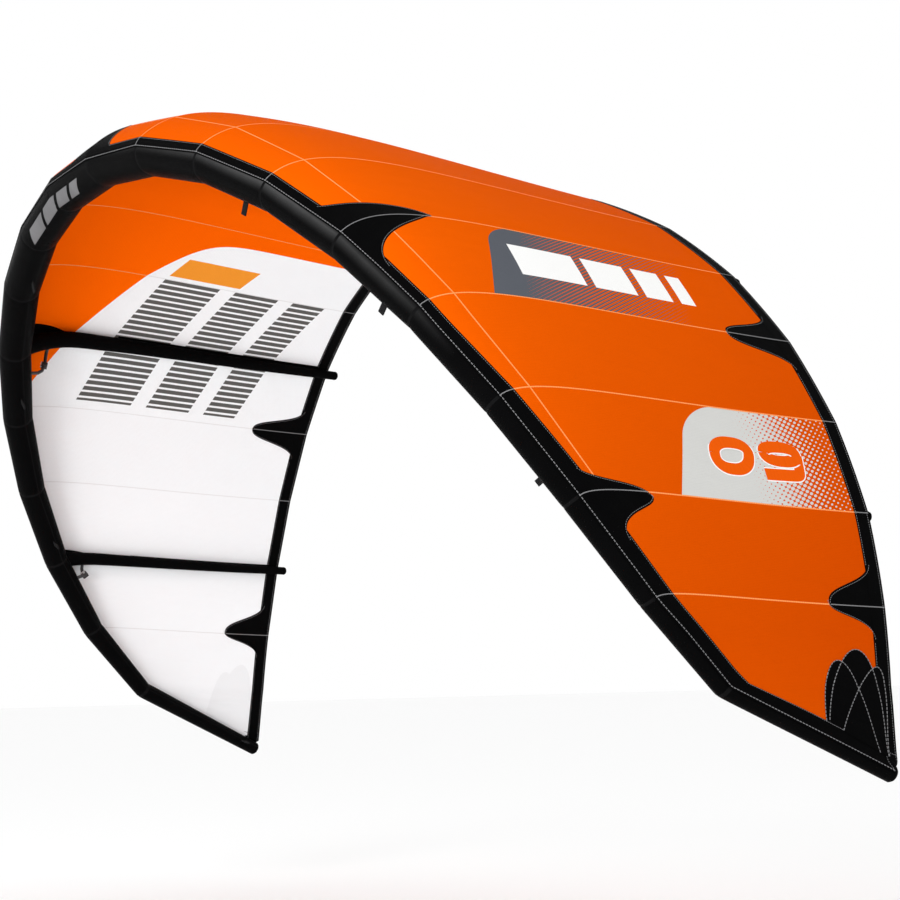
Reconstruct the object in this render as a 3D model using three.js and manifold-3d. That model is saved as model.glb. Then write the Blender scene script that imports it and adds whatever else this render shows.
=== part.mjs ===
// Inflatable kitesurf kite: a leading edge tube in straight runs, five struts and a one-skin canopy.
// Millimetres. +X right wing, +Y towards the trailing edge, +Z up.
// The origin is the middle of the leading edge tube. The left wing mirrors the right wing.
// A place along the wing is a rib number: 0 at the middle, 9 at the last bend, 10 at the wingtip.

import * as THREE from 'three';
import { mergeVertices } from 'three/addons/utils/BufferGeometryUtils.js';
import Module from 'manifold-3d';

const wasm = await Module();
wasm.setup();

// Plan of the wing
const LAST_BEND = 9;
const TIP_RIB = 10;
const BAY_RUN = 365;
const TIP_RUN = 665;
const BAY_TURN = 10;
const TIP_TURN = 75;
const BAY_SWEEP = 4;
const HOOK_SWEEP = 8.6;
const HOOK_POWER = 6;
const TIP_SWEEP = 64;

// Trailing edge
const CENTRE_CHORD = 1590;
const TRAIL_BACK = 140;
const TRAIL_BACK_RIB = 6.7;
const TRAIL_LIFT = 34;
const TRAIL_SPREAD = 40;
const SETTLE_RIB = 4;
const LAST_TRAIL_RIB = 8;
const TIP_TRAIL = new THREE.Vector3(0, 15, 30);

// Leading edge tube
const CENTRE_RADIUS = 77;
const TIP_RADIUS = 28;
const RADIUS_BELLY = 8;
const TUBE_SIDES = 12;
const CASING_WALL = 1.6;
const BLADDER_WALL = 1;
const BLADDER_SLACK = 2;
const SEAM_GAP = 0.6;

// Canopy profile: angles are measured from the top of the tube, positive to the rear
const CANOPY_THICK = 1.6;
const CANOPY_GAP = 2.5;
const SEAM_ANGLE = { centre: -86, tip: -2 };
const LEAVE_ANGLE = { centre: -44, tip: -40 };
const NOSE_HANDLE = { centre: 0.21, tip: 0.01 };
const REAR_HANDLE = 0.65;
const REAR_ANGLE = { centre: 9, tip: -1 };
const LEAST_WRAP = 6;
const WRAP_STEPS = 2;
const PROFILE_STEPS = 10;
const TIP_CLOTH_RIB = 9.93;

// Wingtip flex line, where the tube bends between its main and tip parts
const FLEX_RIB = 6;
const FLEX_GAP = 13;
const FLEX_RISE = 20;

// Trailing edge band
const BAND_THICK = 1.2;
const BAND_WIDTH = { centre: 26, tip: 70 };
const BAND_GAP = 0.8;

// Struts
const STRUT_SIDES = 10;
const STRUT_WALL = 1.4;
const STRUT_TAPER_POWER = 0.8;
const STRUT_HANG_SHARES = [0.36, 0.52, 0.7, 0.86, 1];
const STRUT_END_SHARE = 0.012;
const STRUT_BLADDER_SHARE = 0.985;
const STRUT_ROOT_RISE = 18;
const STRUT_CLOTH_GAP = 7;
const STRUT_CUT_GAP = 1.2;
const STRUTS = [
  { name: 'centre', rib: 0, side: 1, root: 42, tail: 19, stub: 34 },
  { name: 'right_inner', rib: 4, side: 1, root: 38, tail: 18, stub: 34 },
  { name: 'left_inner', rib: 4, side: -1, root: 38, tail: 18, stub: 34 },
  { name: 'right_outer', rib: 7, side: 1, root: 29, tail: 17, stub: 26 },
  { name: 'left_outer', rib: 7, side: -1, root: 29, tail: 17, stub: 26 },
];

// Air hoses and their clips
const HOSE_RADIUS = 7;
const HOSE_OFFSET_RIBS = 0.3;
const HOSE_DROP_ANGLE = -28;
const HOSE_GAP = 1.4;
const HOSE_REACH = 70;
const HOSE_STRUT_SHARE = 0.12;
const STRUT_STATIONS = [0, HOSE_STRUT_SHARE, 0.3, 0.5, 0.75];
const HOSE_STEPS = 7;
const HOSE_QUARTERS = 4;
const CLIP_SIZE = 24;
const CLIP_LENGTH = 16;
const LEVER_LENGTH = 19;
const LEVER_THICK = 3;

// Small hinge shared by the clips and the valve caps
const BARREL_RADIUS = 2.6;
const BARREL_LENGTH = 7;
const PIN_RADIUS = 1.2;
const PIN_PLAY = 0.4;
const EAR_THICK = 3;
const EAR_PLAY = 0.5;

// Valves on the rear of the leading edge tube
const VALVES = [
  { name: 'inflate', rib: 0.5, neck: 12, bore: 6.5 },
  { name: 'dump', rib: 0.85, neck: 17, bore: 11 },
];
const FLANGE_RIM = 11;
const FLANGE_THICK = 2;
const NECK_HEIGHT = 14;
const STEM_DEPTH = 12;
const STEM_PLAY = 0.8;
const FLAP_HEIGHT = 1;
const ROUND_SIDES = 16;
const CAP_THICK = 3;
const CAP_GAP = 0.4;

// Webbing tabs for the lines
const TAB_WIDTH = 22;
const TAB_LENGTH = 42;
const TAB_THICK = 5;
const TAB_EYELET = 1.8;
const TAB_GAP = 1.5;
const LINE_TAB_RIBS = [2.6, 4.6, 6.7];
const TIP_TAB_RIB = 9.85;

const RIGHT = 1;
const LEFT = -1;
const SIDES = [{ side: RIGHT, word: 'right' }, { side: LEFT, word: 'left' }];

const CLOTHS = {
  black: new THREE.MeshStandardMaterial({ color: 0x151515, roughness: 0.62, metalness: 0 }),
  orange: new THREE.MeshStandardMaterial({ color: 0xff6408, roughness: 0.5, metalness: 0 }),
  white: new THREE.MeshStandardMaterial({ color: 0xf1f1ef, roughness: 0.5, metalness: 0 }),
};

const radians = THREE.MathUtils.degToRad;
const mix = THREE.MathUtils.lerp;
const tipShare = (rib) => rib / TIP_RIB;
const graded = (range, rib) => mix(range.centre, range.tip, tipShare(rib));

function mirrored(point, side) {
  return new THREE.Vector3(point.x * side, point.y, point.z);
}

// ---------- the wing's lines ----------

function runDirection(turn, sweep) {
  const level = Math.cos(radians(sweep));
  return new THREE.Vector3(
    level * Math.cos(radians(turn)),
    Math.sin(radians(sweep)),
    -level * Math.sin(radians(turn)),
  );
}

function leadDirections() {
  const directions = [];
  for (let bay = 0; bay < LAST_BEND; bay += 1) {
    const middle = bay + 0.5;
    const hook = HOOK_SWEEP * (middle / (LAST_BEND - 0.5)) ** HOOK_POWER;
    directions.push(runDirection(BAY_TURN * middle, BAY_SWEEP * middle + hook));
  }
  directions.push(runDirection(TIP_TURN, TIP_SWEEP));
  return directions;
}

function leadCorners(directions) {
  const corners = [new THREE.Vector3()];
  directions.forEach((direction, bay) => {
    const run = bay < LAST_BEND ? BAY_RUN : TIP_RUN;
    corners.push(corners[bay].clone().addScaledVector(direction, run));
  });
  return corners;
}

function ribTangents(directions) {
  const tangents = [new THREE.Vector3(1, 0, 0)];
  for (let rib = 1; rib < TIP_RIB; rib += 1) {
    tangents.push(directions[rib - 1].clone().add(directions[rib]).normalize());
  }
  tangents.push(directions[TIP_RIB - 1]);
  return tangents;
}

const DIRECTIONS = leadDirections();
const CORNERS = leadCorners(DIRECTIONS);
const TANGENTS = ribTangents(DIRECTIONS);

function between(list, rib) {
  const from = Math.min(Math.floor(rib), TIP_RIB - 1);
  return list[from].clone().lerp(list[from + 1], rib - from);
}

function tubeRadius(rib) {
  const share = tipShare(rib);
  return mix(CENTRE_RADIUS, TIP_RADIUS, share) + RADIUS_BELLY * 4 * share * (1 - share);
}

function trailPoint(rib) {
  if (rib > LAST_TRAIL_RIB) {
    const tip = CORNERS[TIP_RIB].clone().add(TIP_TRAIL);
    const share = (rib - LAST_TRAIL_RIB) / (TIP_RIB - LAST_TRAIL_RIB);
    return trailPoint(LAST_TRAIL_RIB).lerp(tip, share);
  }
  const turn = radians(BAY_TURN * rib);
  const settle = THREE.MathUtils.smoothstep(rib, 0, SETTLE_RIB);
  const point = between(CORNERS, rib);
  point.y = CENTRE_CHORD + TRAIL_BACK * Math.sin(radians(90) * rib / TRAIL_BACK_RIB) ** 2;
  point.x += settle * (TRAIL_LIFT * Math.sin(turn) + TRAIL_SPREAD * Math.cos(turn));
  point.z += settle * (TRAIL_LIFT * Math.cos(turn) - TRAIL_SPREAD * Math.sin(turn));
  return point;
}

// Axes of the wing's cross-section at a rib: chord, span and up, and back, which is square to the tube
function sectionAt(rib) {
  const lead = between(CORNERS, rib);
  const trail = trailPoint(rib);
  const tangent = between(TANGENTS, rib).normalize();
  const length = trail.distanceTo(lead);
  const chord = trail.clone().sub(lead).divideScalar(length);
  const span = tangent.clone().addScaledVector(chord, -tangent.dot(chord)).normalize();
  const up = span.clone().cross(chord);
  const back = chord.clone().addScaledVector(tangent, -chord.dot(tangent)).normalize();
  return { lead, trail, tangent, length, chord, span, up, back, radius: tubeRadius(rib) };
}

function onTube(section, degrees, radius) {
  const angle = radians(degrees);
  return section.lead.clone()
    .addScaledVector(section.up, radius * Math.cos(angle))
    .addScaledVector(section.back, radius * Math.sin(angle));
}

// Towards the wingtip the cloth flattens to a straight line from the tube to the trailing edge
function clothAngles(section, rib) {
  const straight = THREE.MathUtils.radToDeg(Math.asin(section.radius / section.length));
  const flat = THREE.MathUtils.smoothstep(rib, LAST_TRAIL_RIB, LAST_BEND);
  const leave = Math.max(graded(SEAM_ANGLE, rib), graded(LEAVE_ANGLE, rib));
  return {
    leave: mix(leave, straight, flat),
    rise: mix(graded(REAR_ANGLE, rib), straight, flat),
  };
}

function profileCurve(section, rib) {
  const angles = clothAngles(section, rib);
  const start = onTube(section, angles.leave, section.radius);
  const leave = radians(angles.leave);
  const nose = graded(NOSE_HANDLE, rib) * section.length;
  const rear = REAR_HANDLE * section.length;
  const rise = radians(angles.rise);
  const first = start.clone()
    .addScaledVector(section.back, nose * Math.cos(leave))
    .addScaledVector(section.up, -nose * Math.sin(leave));
  const second = section.trail.clone()
    .addScaledVector(section.chord, -rear * Math.cos(rise))
    .addScaledVector(section.up, rear * Math.sin(rise));
  return new THREE.CubicBezierCurve3(start, first, second, section.trail);
}

// Where the trailing edge band starts on the profile curve
function bandShare(section, rib) {
  return 1 - Math.min(graded(BAND_WIDTH, rib) / section.length, 0.3) / (3 * REAR_HANDLE);
}

function clothPoint(section, curve, share, lift) {
  const normal = section.span.clone().cross(curve.getTangent(share)).normalize();
  return curve.getPoint(share).addScaledVector(normal, lift);
}

// One row of cloth from the seam on the tube to the trailing edge, a given height above the tube
function clothRow(rib, lift) {
  const section = sectionAt(rib);
  const { leave } = clothAngles(section, rib);
  const seam = Math.min(graded(SEAM_ANGLE, rib), leave - LEAST_WRAP);
  const curve = profileCurve(section, rib);
  const row = [];
  for (let step = 0; step < WRAP_STEPS; step += 1) {
    row.push(onTube(section, mix(seam, leave, step / WRAP_STEPS), section.radius + lift));
  }
  for (let step = 0; step < PROFILE_STEPS; step += 1) {
    row.push(clothPoint(section, curve, step / PROFILE_STEPS, lift));
  }
  row.push(clothPoint(section, curve, bandShare(section, rib), lift));
  row.push(clothPoint(section, curve, 1, lift));
  return row;
}

// ---------- closed bodies ----------

function signedVolume(points, faces) {
  let volume = 0;
  for (const [a, b, c] of faces) {
    volume += points[a].dot(points[b].clone().cross(points[c])) / 6;
  }
  return volume;
}

function closedBody(points, faces) {
  const outward = signedVolume(points, faces) > 0;
  const index = faces.flatMap(([a, b, c]) => (outward ? [a, b, c] : [a, c, b]));
  const geometry = new THREE.BufferGeometry().setFromPoints(points);
  geometry.setIndex(index);
  geometry.computeVertexNormals();
  return geometry;
}

function quadFaces(a, b, c, d) {
  return [[a, b, c], [a, c, d]];
}

// A skin between two grids of points. Wrapped rows are rings, so they have no side edges.
function skin(outer, inner, wrapped) {
  const rows = outer.length;
  const columns = outer[0].length;
  const points = [...outer.flat(), ...inner.flat()];
  const top = (row, column) => row * columns + (column % columns);
  const under = (row, column) => rows * columns + top(row, column);
  const faces = [];
  const steps = wrapped ? columns : columns - 1;
  for (let row = 0; row < rows - 1; row += 1) {
    for (let c = 0; c < steps; c += 1) {
      const next = c + 1;
      faces.push(...quadFaces(top(row, c), top(row, next), top(row + 1, next), top(row + 1, c)));
      faces.push(...quadFaces(under(row, c), under(row + 1, c), under(row + 1, next), under(row, next)));
    }
    if (!wrapped) {
      const end = columns - 1;
      faces.push(...quadFaces(top(row, 0), top(row + 1, 0), under(row + 1, 0), under(row, 0)));
      faces.push(...quadFaces(top(row + 1, end), top(row, end), under(row, end), under(row + 1, end)));
    }
  }
  for (let c = 0; c < steps; c += 1) {
    const end = rows - 1;
    faces.push(...quadFaces(top(0, c + 1), top(0, c), under(0, c), under(0, c + 1)));
    faces.push(...quadFaces(top(end, c), top(end, c + 1), under(end, c + 1), under(end, c)));
  }
  return closedBody(points, faces);
}

// A solid through a stack of rings, closed by a fan at each end
function loft(rings) {
  const columns = rings[0].length;
  const points = rings.flat();
  const faces = [];
  for (let row = 0; row < rings.length - 1; row += 1) {
    for (let c = 0; c < columns; c += 1) {
      const next = (c + 1) % columns;
      const low = row * columns;
      faces.push(...quadFaces(low + c, low + next, low + columns + next, low + columns + c));
    }
  }
  const last = (rings.length - 1) * columns;
  for (let c = 1; c < columns - 1; c += 1) {
    faces.push([0, c + 1, c]);
    faces.push([last, last + c, last + c + 1]);
  }
  return closedBody(points, faces);
}

function ringAround(centre, first, second, radius, sides) {
  const ring = [];
  for (let step = 0; step < sides; step += 1) {
    const angle = (2 * Math.PI * step) / sides;
    ring.push(centre.clone()
      .addScaledVector(first, radius * Math.cos(angle))
      .addScaledVector(second, radius * Math.sin(angle)));
  }
  return ring;
}

function toSolid(geometry) {
  const bare = geometry.clone();
  bare.deleteAttribute('normal');
  bare.deleteAttribute('uv');
  const merged = mergeVertices(bare);
  return new wasm.Manifold(new wasm.Mesh({
    numProp: 3,
    vertProperties: Float32Array.from(merged.getAttribute('position').array),
    triVerts: Uint32Array.from(merged.getIndex().array),
  }));
}

function toGeometry(solid) {
  const mesh = solid.getMesh();
  const geometry = new THREE.BufferGeometry();
  geometry.setAttribute('position', new THREE.BufferAttribute(mesh.vertProperties, 3));
  geometry.setIndex(new THREE.BufferAttribute(mesh.triVerts, 1));
  geometry.computeVertexNormals();
  return geometry;
}

function joined(...geometries) {
  return toGeometry(geometries.map(toSolid).reduce((whole, piece) => whole.add(piece)));
}

function cut(geometry, ...tools) {
  return toGeometry(tools.map(toSolid).reduce((whole, tool) => whole.subtract(tool), toSolid(geometry)));
}

function named(name, geometry, cloth) {
  const mesh = new THREE.Mesh(geometry, cloth);
  mesh.name = name;
  return mesh;
}

// ---------- leading edge tube ----------

function tubeRing(rib, radius, side) {
  const { lead, up, back } = sectionAt(rib);
  return ringAround(lead, up, back, radius, TUBE_SIDES).map((point) => mirrored(point, side));
}

function inRibs(length, rib) {
  return length / (rib < LAST_BEND ? BAY_RUN : TIP_RUN);
}

// Rings at both ends of a run and at every bend between them
function tubeRings(from, to, inset, side) {
  const bends = [];
  for (let rib = Math.floor(from) + 1; rib < to; rib += 1) {
    bends.push(rib);
  }
  return [from, ...bends, to].map((rib) => tubeRing(rib, tubeRadius(rib) - inset, side));
}

// Rings that close a tube's end to a small hole, reaching one radius past the given rib
function endRings(rib, inset, direction, side) {
  const radius = tubeRadius(rib) - inset;
  const steps = [[0.5, 0.87], [0.85, 0.53], [1, 0.06]];
  return steps.map(([reach, share]) => (
    tubeRing(rib + direction * inRibs(reach * radius, rib), radius * share, side)
  ));
}

function gapAt(rib) {
  return inRibs((rib === FLEX_RIB ? FLEX_GAP : SEAM_GAP) / 2, rib);
}

function casingRun(from, to, side) {
  const start = from + gapAt(from);
  const stop = to === TIP_RIB ? to : to - gapAt(to);
  const wallRings = (inset) => tubeRings(start, stop, inset, side);
  if (to === TIP_RIB) {
    const closed = (inset) => [...wallRings(inset), ...endRings(to, inset, 1, side)];
    return skin(closed(0), closed(CASING_WALL), true);
  }
  return skin(wallRings(0), wallRings(CASING_WALL), true);
}

function valveHole(valve) {
  const width = valve.neck + STEM_PLAY;
  const hole = new THREE.CylinderGeometry(width, width, 3 * STEM_DEPTH, ROUND_SIDES);
  const { lead, radius } = sectionAt(valve.rib);
  return hole.translate(lead.x, lead.y + radius, lead.z);
}

// The first run on the right is cut at rib 1, so that the valves stand on a straight run of their own
function firstCasingRun(side) {
  return side === RIGHT ? casingRun(1, 2, side) : casingRun(0, 2, side);
}

function valveRun() {
  const geometry = cut(casingRun(0, 1, RIGHT), ...VALVES.map(valveHole));
  return named('leading_tube_valve_run', geometry, CLOTHS.black);
}

function casings(side, word) {
  return [0, 2, 4, 6, 8].map((from, index) => {
    const geometry = from === 0 ? firstCasingRun(side) : casingRun(from, from + 2, side);
    return named(`leading_tube_${word}_${index + 1}`, geometry, CLOTHS.black);
  });
}

function bladderWall(ringsAt) {
  const outer = CASING_WALL + BLADDER_SLACK;
  return skin(ringsAt(outer), ringsAt(outer + BLADDER_WALL), true);
}

// A bladder's straight part stops one radius and the flex gap short of the flex line
function bladderStop(direction) {
  return FLEX_RIB + direction * inRibs(FLEX_GAP + tubeRadius(FLEX_RIB), FLEX_RIB);
}

function centreBladder() {
  const stop = bladderStop(-1);
  const half = (inset, side) => [
    ...tubeRings(0, stop, inset, side), ...endRings(stop, inset, 1, side),
  ];
  const geometry = bladderWall((inset) => (
    [...half(inset, LEFT).slice(1).reverse(), ...half(inset, RIGHT)]
  ));
  const holes = VALVES.map(valveHole);
  return named('leading_bladder_centre', cut(geometry, ...holes), CLOTHS.white);
}

function tipBladder(side, word) {
  const start = bladderStop(1);
  const stop = TIP_RIB - inRibs(TIP_RADIUS, TIP_RIB);
  const geometry = bladderWall((inset) => [
    ...endRings(start, inset, -1, side).reverse(),
    ...tubeRings(start, stop, inset, side),
    ...endRings(stop, inset, 1, side),
  ]);
  return named(`leading_bladder_${word}`, geometry, CLOTHS.white);
}

// ---------- canopy ----------

function clothRibs(from, to) {
  const ribs = [from + gapAt(from)];
  for (let rib = from + 1; rib < to; rib += 1) {
    ribs.push(rib);
  }
  if (to === TIP_RIB) {
    return [...ribs, (LAST_BEND + TIP_CLOTH_RIB) / 2, TIP_CLOTH_RIB];
  }
  return [...ribs, to - gapAt(to)];
}

function clothPanel(from, to, side) {
  const rowsAt = (lift) => clothRibs(from, to).map((rib) => (
    clothRow(rib, lift).map((point) => mirrored(point, side))
  ));
  return skin(rowsAt(CANOPY_GAP + CANOPY_THICK), rowsAt(CANOPY_GAP), false);
}

function canopyPanels(side, word) {
  return [0, 2, 4, 6, 8].map((from, index) => {
    const cloth = side === LEFT && from >= SETTLE_RIB ? CLOTHS.white : CLOTHS.orange;
    return named(`canopy_${word}_${index + 1}`, clothPanel(from, from + 2, side), cloth);
  });
}

function bandRow(rib, lift, side) {
  const section = sectionAt(rib);
  const curve = profileCurve(section, rib);
  const shares = [bandShare(section, rib), 1];
  return shares.map((share) => mirrored(clothPoint(section, curve, share, lift), side));
}

function trailingBand(from, to, side) {
  const lift = CANOPY_GAP + CANOPY_THICK + BAND_GAP;
  const rowsAt = (height) => clothRibs(from, to).map((rib) => bandRow(rib, height, side));
  return skin(rowsAt(lift + BAND_THICK), rowsAt(lift), false);
}

function trailingBands(side, word) {
  return [
    named(`trailing_band_${word}_main`, trailingBand(0, FLEX_RIB, side), CLOTHS.black),
    named(`trailing_band_${word}_tip`, trailingBand(FLEX_RIB, TIP_RIB, side), CLOTHS.black),
  ];
}

// ---------- struts ----------

function strutRadius(strut, share) {
  return mix(strut.root, strut.tail, Math.min(share, 1) ** STRUT_TAPER_POWER);
}

// The strut leaves the tube just above its middle and then hangs close under the canopy
function strutAxis(strut) {
  const section = sectionAt(strut.rib);
  const curve = profileCurve(section, strut.rib);
  const root = section.lead.clone().addScaledVector(section.up, STRUT_ROOT_RISE);
  const under = STRUT_HANG_SHARES.map((share) => (
    clothPoint(section, curve, share, -strutRadius(strut, share) - STRUT_CLOTH_GAP)
  ));
  const tail = under.at(-1).clone().sub(under.at(-2)).normalize();
  const stub = under.at(-1).clone().addScaledVector(tail, strut.stub);
  return new THREE.CatmullRomCurve3([root, ...under, stub], false, 'centripetal');
}

function strutRings(strut, axis, inset, shares) {
  const { span } = sectionAt(strut.rib);
  return shares.map(([share, radiusShare]) => {
    const tangent = axis.getTangent(share);
    const across = span.clone().addScaledVector(tangent, -span.dot(tangent)).normalize();
    const radius = (strutRadius(strut, share) - inset) * radiusShare;
    const up = across.clone().cross(tangent);
    const ring = ringAround(axis.getPointAt(share), across, up, radius, STRUT_SIDES);
    return ring.map((point) => mirrored(point, strut.side));
  });
}

// Shares of the strut's length and radius that close its tail to a small hole
function roundEnd(stop) {
  return [[stop - STRUT_END_SHARE, 1], [stop - 0.4 * STRUT_END_SHARE, 0.86], [stop, 0.1]];
}

function strutTube(strut, axis) {
  const shares = [...STRUT_STATIONS.map((share) => [share, 1]), ...roundEnd(1)];
  const wall = skin(strutRings(strut, axis, 0, shares), strutRings(strut, axis, STRUT_WALL, shares), true);
  return cut(wall, leadCore(strut.rib, STRUT_CUT_GAP, strut.side));
}

function strutBladder(strut, axis) {
  const inset = STRUT_WALL + BLADDER_SLACK;
  const shares = [...STRUT_STATIONS.map((share) => [share, 1]), ...roundEnd(STRUT_BLADDER_SHARE)];
  const outer = strutRings(strut, axis, inset, shares);
  const wall = skin(outer, strutRings(strut, axis, inset + BLADDER_WALL, shares), true);
  return cut(wall, leadCore(strut.rib, 4 * STRUT_CUT_GAP, strut.side));
}

// The leading edge tube as a solid, used to cut the root of each strut to a saddle
function leadCore(rib, margin, side) {
  const ribs = rib === 0 ? [0, 1] : [rib - 1, rib, rib + 1];
  const rings = ribs.map((place) => tubeRing(place, tubeRadius(place) + margin, side));
  if (rib === 0) {
    rings.unshift(tubeRing(1, tubeRadius(1) + margin, -side));
  }
  return loft(rings);
}

function struts() {
  return STRUTS.flatMap((strut) => {
    const axis = strutAxis(strut);
    return [
      named(`strut_tube_${strut.name}`, strutTube(strut, axis), CLOTHS.black),
      named(`strut_bladder_${strut.name}`, strutBladder(strut, axis), CLOTHS.white),
    ];
  });
}

// ---------- small hinge ----------

function cylinderAlongX(radius, length) {
  return new THREE.CylinderGeometry(radius, radius, length, 12).rotateZ(Math.PI / 2);
}

function boxAt(width, depth, height, x, y, z) {
  return new THREE.BoxGeometry(width, depth, height).translate(x, y, z);
}

// Two ears beside the hinge axis, joined to the base that lies below it
function hingeEars(reach) {
  const offset = BARREL_LENGTH / 2 + EAR_PLAY + EAR_THICK / 2;
  const height = reach + BARREL_RADIUS;
  const ears = [offset, -offset].map((x) => (
    boxAt(EAR_THICK, 2 * BARREL_RADIUS, height, x, 0, BARREL_RADIUS - height / 2)
  ));
  return cut(joined(...ears), cylinderAlongX(PIN_RADIUS + PIN_PLAY, 4 * BARREL_LENGTH));
}

// The barrel and pin of the moving half
function hingeBarrel() {
  const pinLength = BARREL_LENGTH + 2 * (EAR_PLAY + EAR_THICK);
  return joined(cylinderAlongX(BARREL_RADIUS, BARREL_LENGTH), cylinderAlongX(PIN_RADIUS, pinLength));
}

// ---------- air hoses ----------

function hosePlan(strut) {
  const from = sectionAt(strut.rib + HOSE_OFFSET_RIBS);
  const drop = radians(HOSE_DROP_ANGLE);
  const leave = from.back.clone().multiplyScalar(Math.cos(drop)).addScaledVector(from.up, Math.sin(drop));
  const start = from.lead.clone().addScaledVector(leave, from.radius + HOSE_GAP);
  const axis = strutAxis(strut);
  const { span } = sectionAt(strut.rib);
  const reach = strutRadius(strut, HOSE_STRUT_SHARE) + HOSE_GAP;
  const stop = axis.getPointAt(HOSE_STRUT_SHARE).addScaledVector(span, reach);
  const points = [
    start,
    start.clone().addScaledVector(leave, HOSE_REACH),
    stop.clone().addScaledVector(span, HOSE_REACH),
    stop,
  ].map((point) => mirrored(point, strut.side));
  return new THREE.CubicBezierCurve3(...points);
}

// Clip frame: X is the hinge axis, Y runs along the hose and Z points away from it
function clipFrame(curve, section, side) {
  const along = curve.getTangent(0.5);
  const up = mirrored(section.up, side);
  const across = along.clone().cross(up).normalize();
  const frame = new THREE.Matrix4().makeBasis(across, along, across.clone().cross(along));
  return frame.setPosition(curve.getPoint(0.5));
}

const CLIP_PIVOT = new THREE.Vector3(0, -CLIP_LENGTH / 2 - BARREL_RADIUS, CLIP_SIZE / 2);

function hose(curve, frame) {
  const circle = new THREE.Shape().absarc(0, 0, HOSE_RADIUS, 0, 2 * Math.PI);
  const settings = { steps: HOSE_STEPS, curveSegments: HOSE_QUARTERS, extrudePath: curve };
  const tube = new THREE.ExtrudeGeometry(circle, settings);
  const block = boxAt(CLIP_SIZE, CLIP_LENGTH, CLIP_SIZE, 0, 0, 0);
  const ears = hingeEars(CLIP_SIZE / 2).translate(...CLIP_PIVOT.toArray());
  const foot = boxAt(CLIP_SIZE, 3 * BARREL_RADIUS, 4, 0, CLIP_PIVOT.y + BARREL_RADIUS, 0);
  return joined(tube, joined(block, ears, foot).applyMatrix4(frame));
}

function clipLever() {
  const plate = boxAt(
    BARREL_LENGTH, LEVER_LENGTH, LEVER_THICK,
    0, LEVER_LENGTH / 2, LEVER_THICK / 2 + EAR_PLAY,
  );
  const pad = boxAt(
    CLIP_SIZE, LEVER_LENGTH / 2, LEVER_THICK,
    0, 0.75 * LEVER_LENGTH, LEVER_THICK / 2 + EAR_PLAY,
  );
  return joined(hingeBarrel(), plate, pad);
}

function hoses() {
  return STRUTS.flatMap((strut) => {
    const curve = hosePlan(strut);
    const frame = clipFrame(curve, sectionAt(strut.rib), strut.side);
    const lever = named(`hose_clip_${strut.name}`, clipLever(), CLOTHS.white);
    lever.applyMatrix4(frame.clone().multiply(new THREE.Matrix4().setPosition(CLIP_PIVOT)));
    return [named(`air_hose_${strut.name}`, hose(curve, frame), CLOTHS.black), lever];
  });
}

// ---------- valves ----------

function turned(points) {
  const outline = points.map(([radius, height]) => new THREE.Vector2(radius, height));
  return new THREE.LatheGeometry(outline, ROUND_SIDES).rotateX(Math.PI / 2);
}

function capPivot(valve) {
  return new THREE.Vector3(0, valve.neck + BARREL_RADIUS + EAR_PLAY, FLANGE_THICK + NECK_HEIGHT);
}

// Valve frame: Z is the bore, pointing out of the tube, and the hinge is on the +Y side.
// A one-way flap closes the foot of the bore.
function valveBody(valve) {
  const top = FLANGE_THICK + NECK_HEIGHT;
  const body = turned([
    [0, -STEM_DEPTH],
    [valve.neck - 1, -STEM_DEPTH],
    [valve.neck - 1, 0],
    [valve.neck + FLANGE_RIM, 0],
    [valve.neck + FLANGE_RIM, FLANGE_THICK],
    [valve.neck, FLANGE_THICK],
    [valve.neck, top],
    [valve.bore, top],
    [valve.bore, FLAP_HEIGHT],
    [0, FLAP_HEIGHT],
  ]);
  const ears = hingeEars(NECK_HEIGHT + FLANGE_THICK / 2).translate(...capPivot(valve).toArray());
  return joined(body, ears);
}

function valveCap(valve) {
  const pivot = capPivot(valve);
  const lid = new THREE.CylinderGeometry(valve.neck, valve.neck, CAP_THICK, ROUND_SIDES);
  lid.rotateX(Math.PI / 2).translate(0, -pivot.y, CAP_GAP + CAP_THICK / 2);
  const strap = boxAt(BARREL_LENGTH, pivot.y, CAP_THICK, 0, -pivot.y / 2, CAP_GAP + CAP_THICK / 2);
  return joined(lid, strap, hingeBarrel());
}

function valves() {
  return VALVES.flatMap((valve) => {
    const { lead, radius } = sectionAt(valve.rib);
    const stand = new THREE.Matrix4().makeRotationX(-Math.PI / 2);
    stand.setPosition(lead.x, lead.y + radius + CANOPY_GAP, lead.z);
    const body = named(`${valve.name}_valve`, valveBody(valve), CLOTHS.white);
    const cap = named(`${valve.name}_cap`, valveCap(valve), CLOTHS.black);
    body.applyMatrix4(stand);
    cap.applyMatrix4(stand.clone().multiply(new THREE.Matrix4().setPosition(capPivot(valve))));
    return [body, cap];
  });
}

// ---------- line tabs ----------

// Tab frame: X is the sewn line that the tab swings on, and the tab points along -Z
function tabShape() {
  const half = TAB_THICK / 2;
  const outline = new THREE.Shape();
  outline.absarc(0, 0, half, 0, Math.PI);
  outline.lineTo(-half, -TAB_LENGTH);
  outline.lineTo(half, -TAB_LENGTH);
  const settings = { depth: TAB_WIDTH, bevelEnabled: false, curveSegments: 4 };
  const strip = new THREE.ExtrudeGeometry(outline, settings);
  strip.translate(0, 0, -TAB_WIDTH / 2).applyMatrix4(new THREE.Matrix4().makeBasis(
    new THREE.Vector3(0, 1, 0), new THREE.Vector3(0, 0, 1), new THREE.Vector3(1, 0, 0),
  ));
  const eyelet = new THREE.CylinderGeometry(TAB_EYELET, TAB_EYELET, 2 * TAB_THICK, 12);
  return cut(strip, eyelet.translate(0, 0, TAB_WIDTH / 2 - TAB_LENGTH));
}

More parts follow.
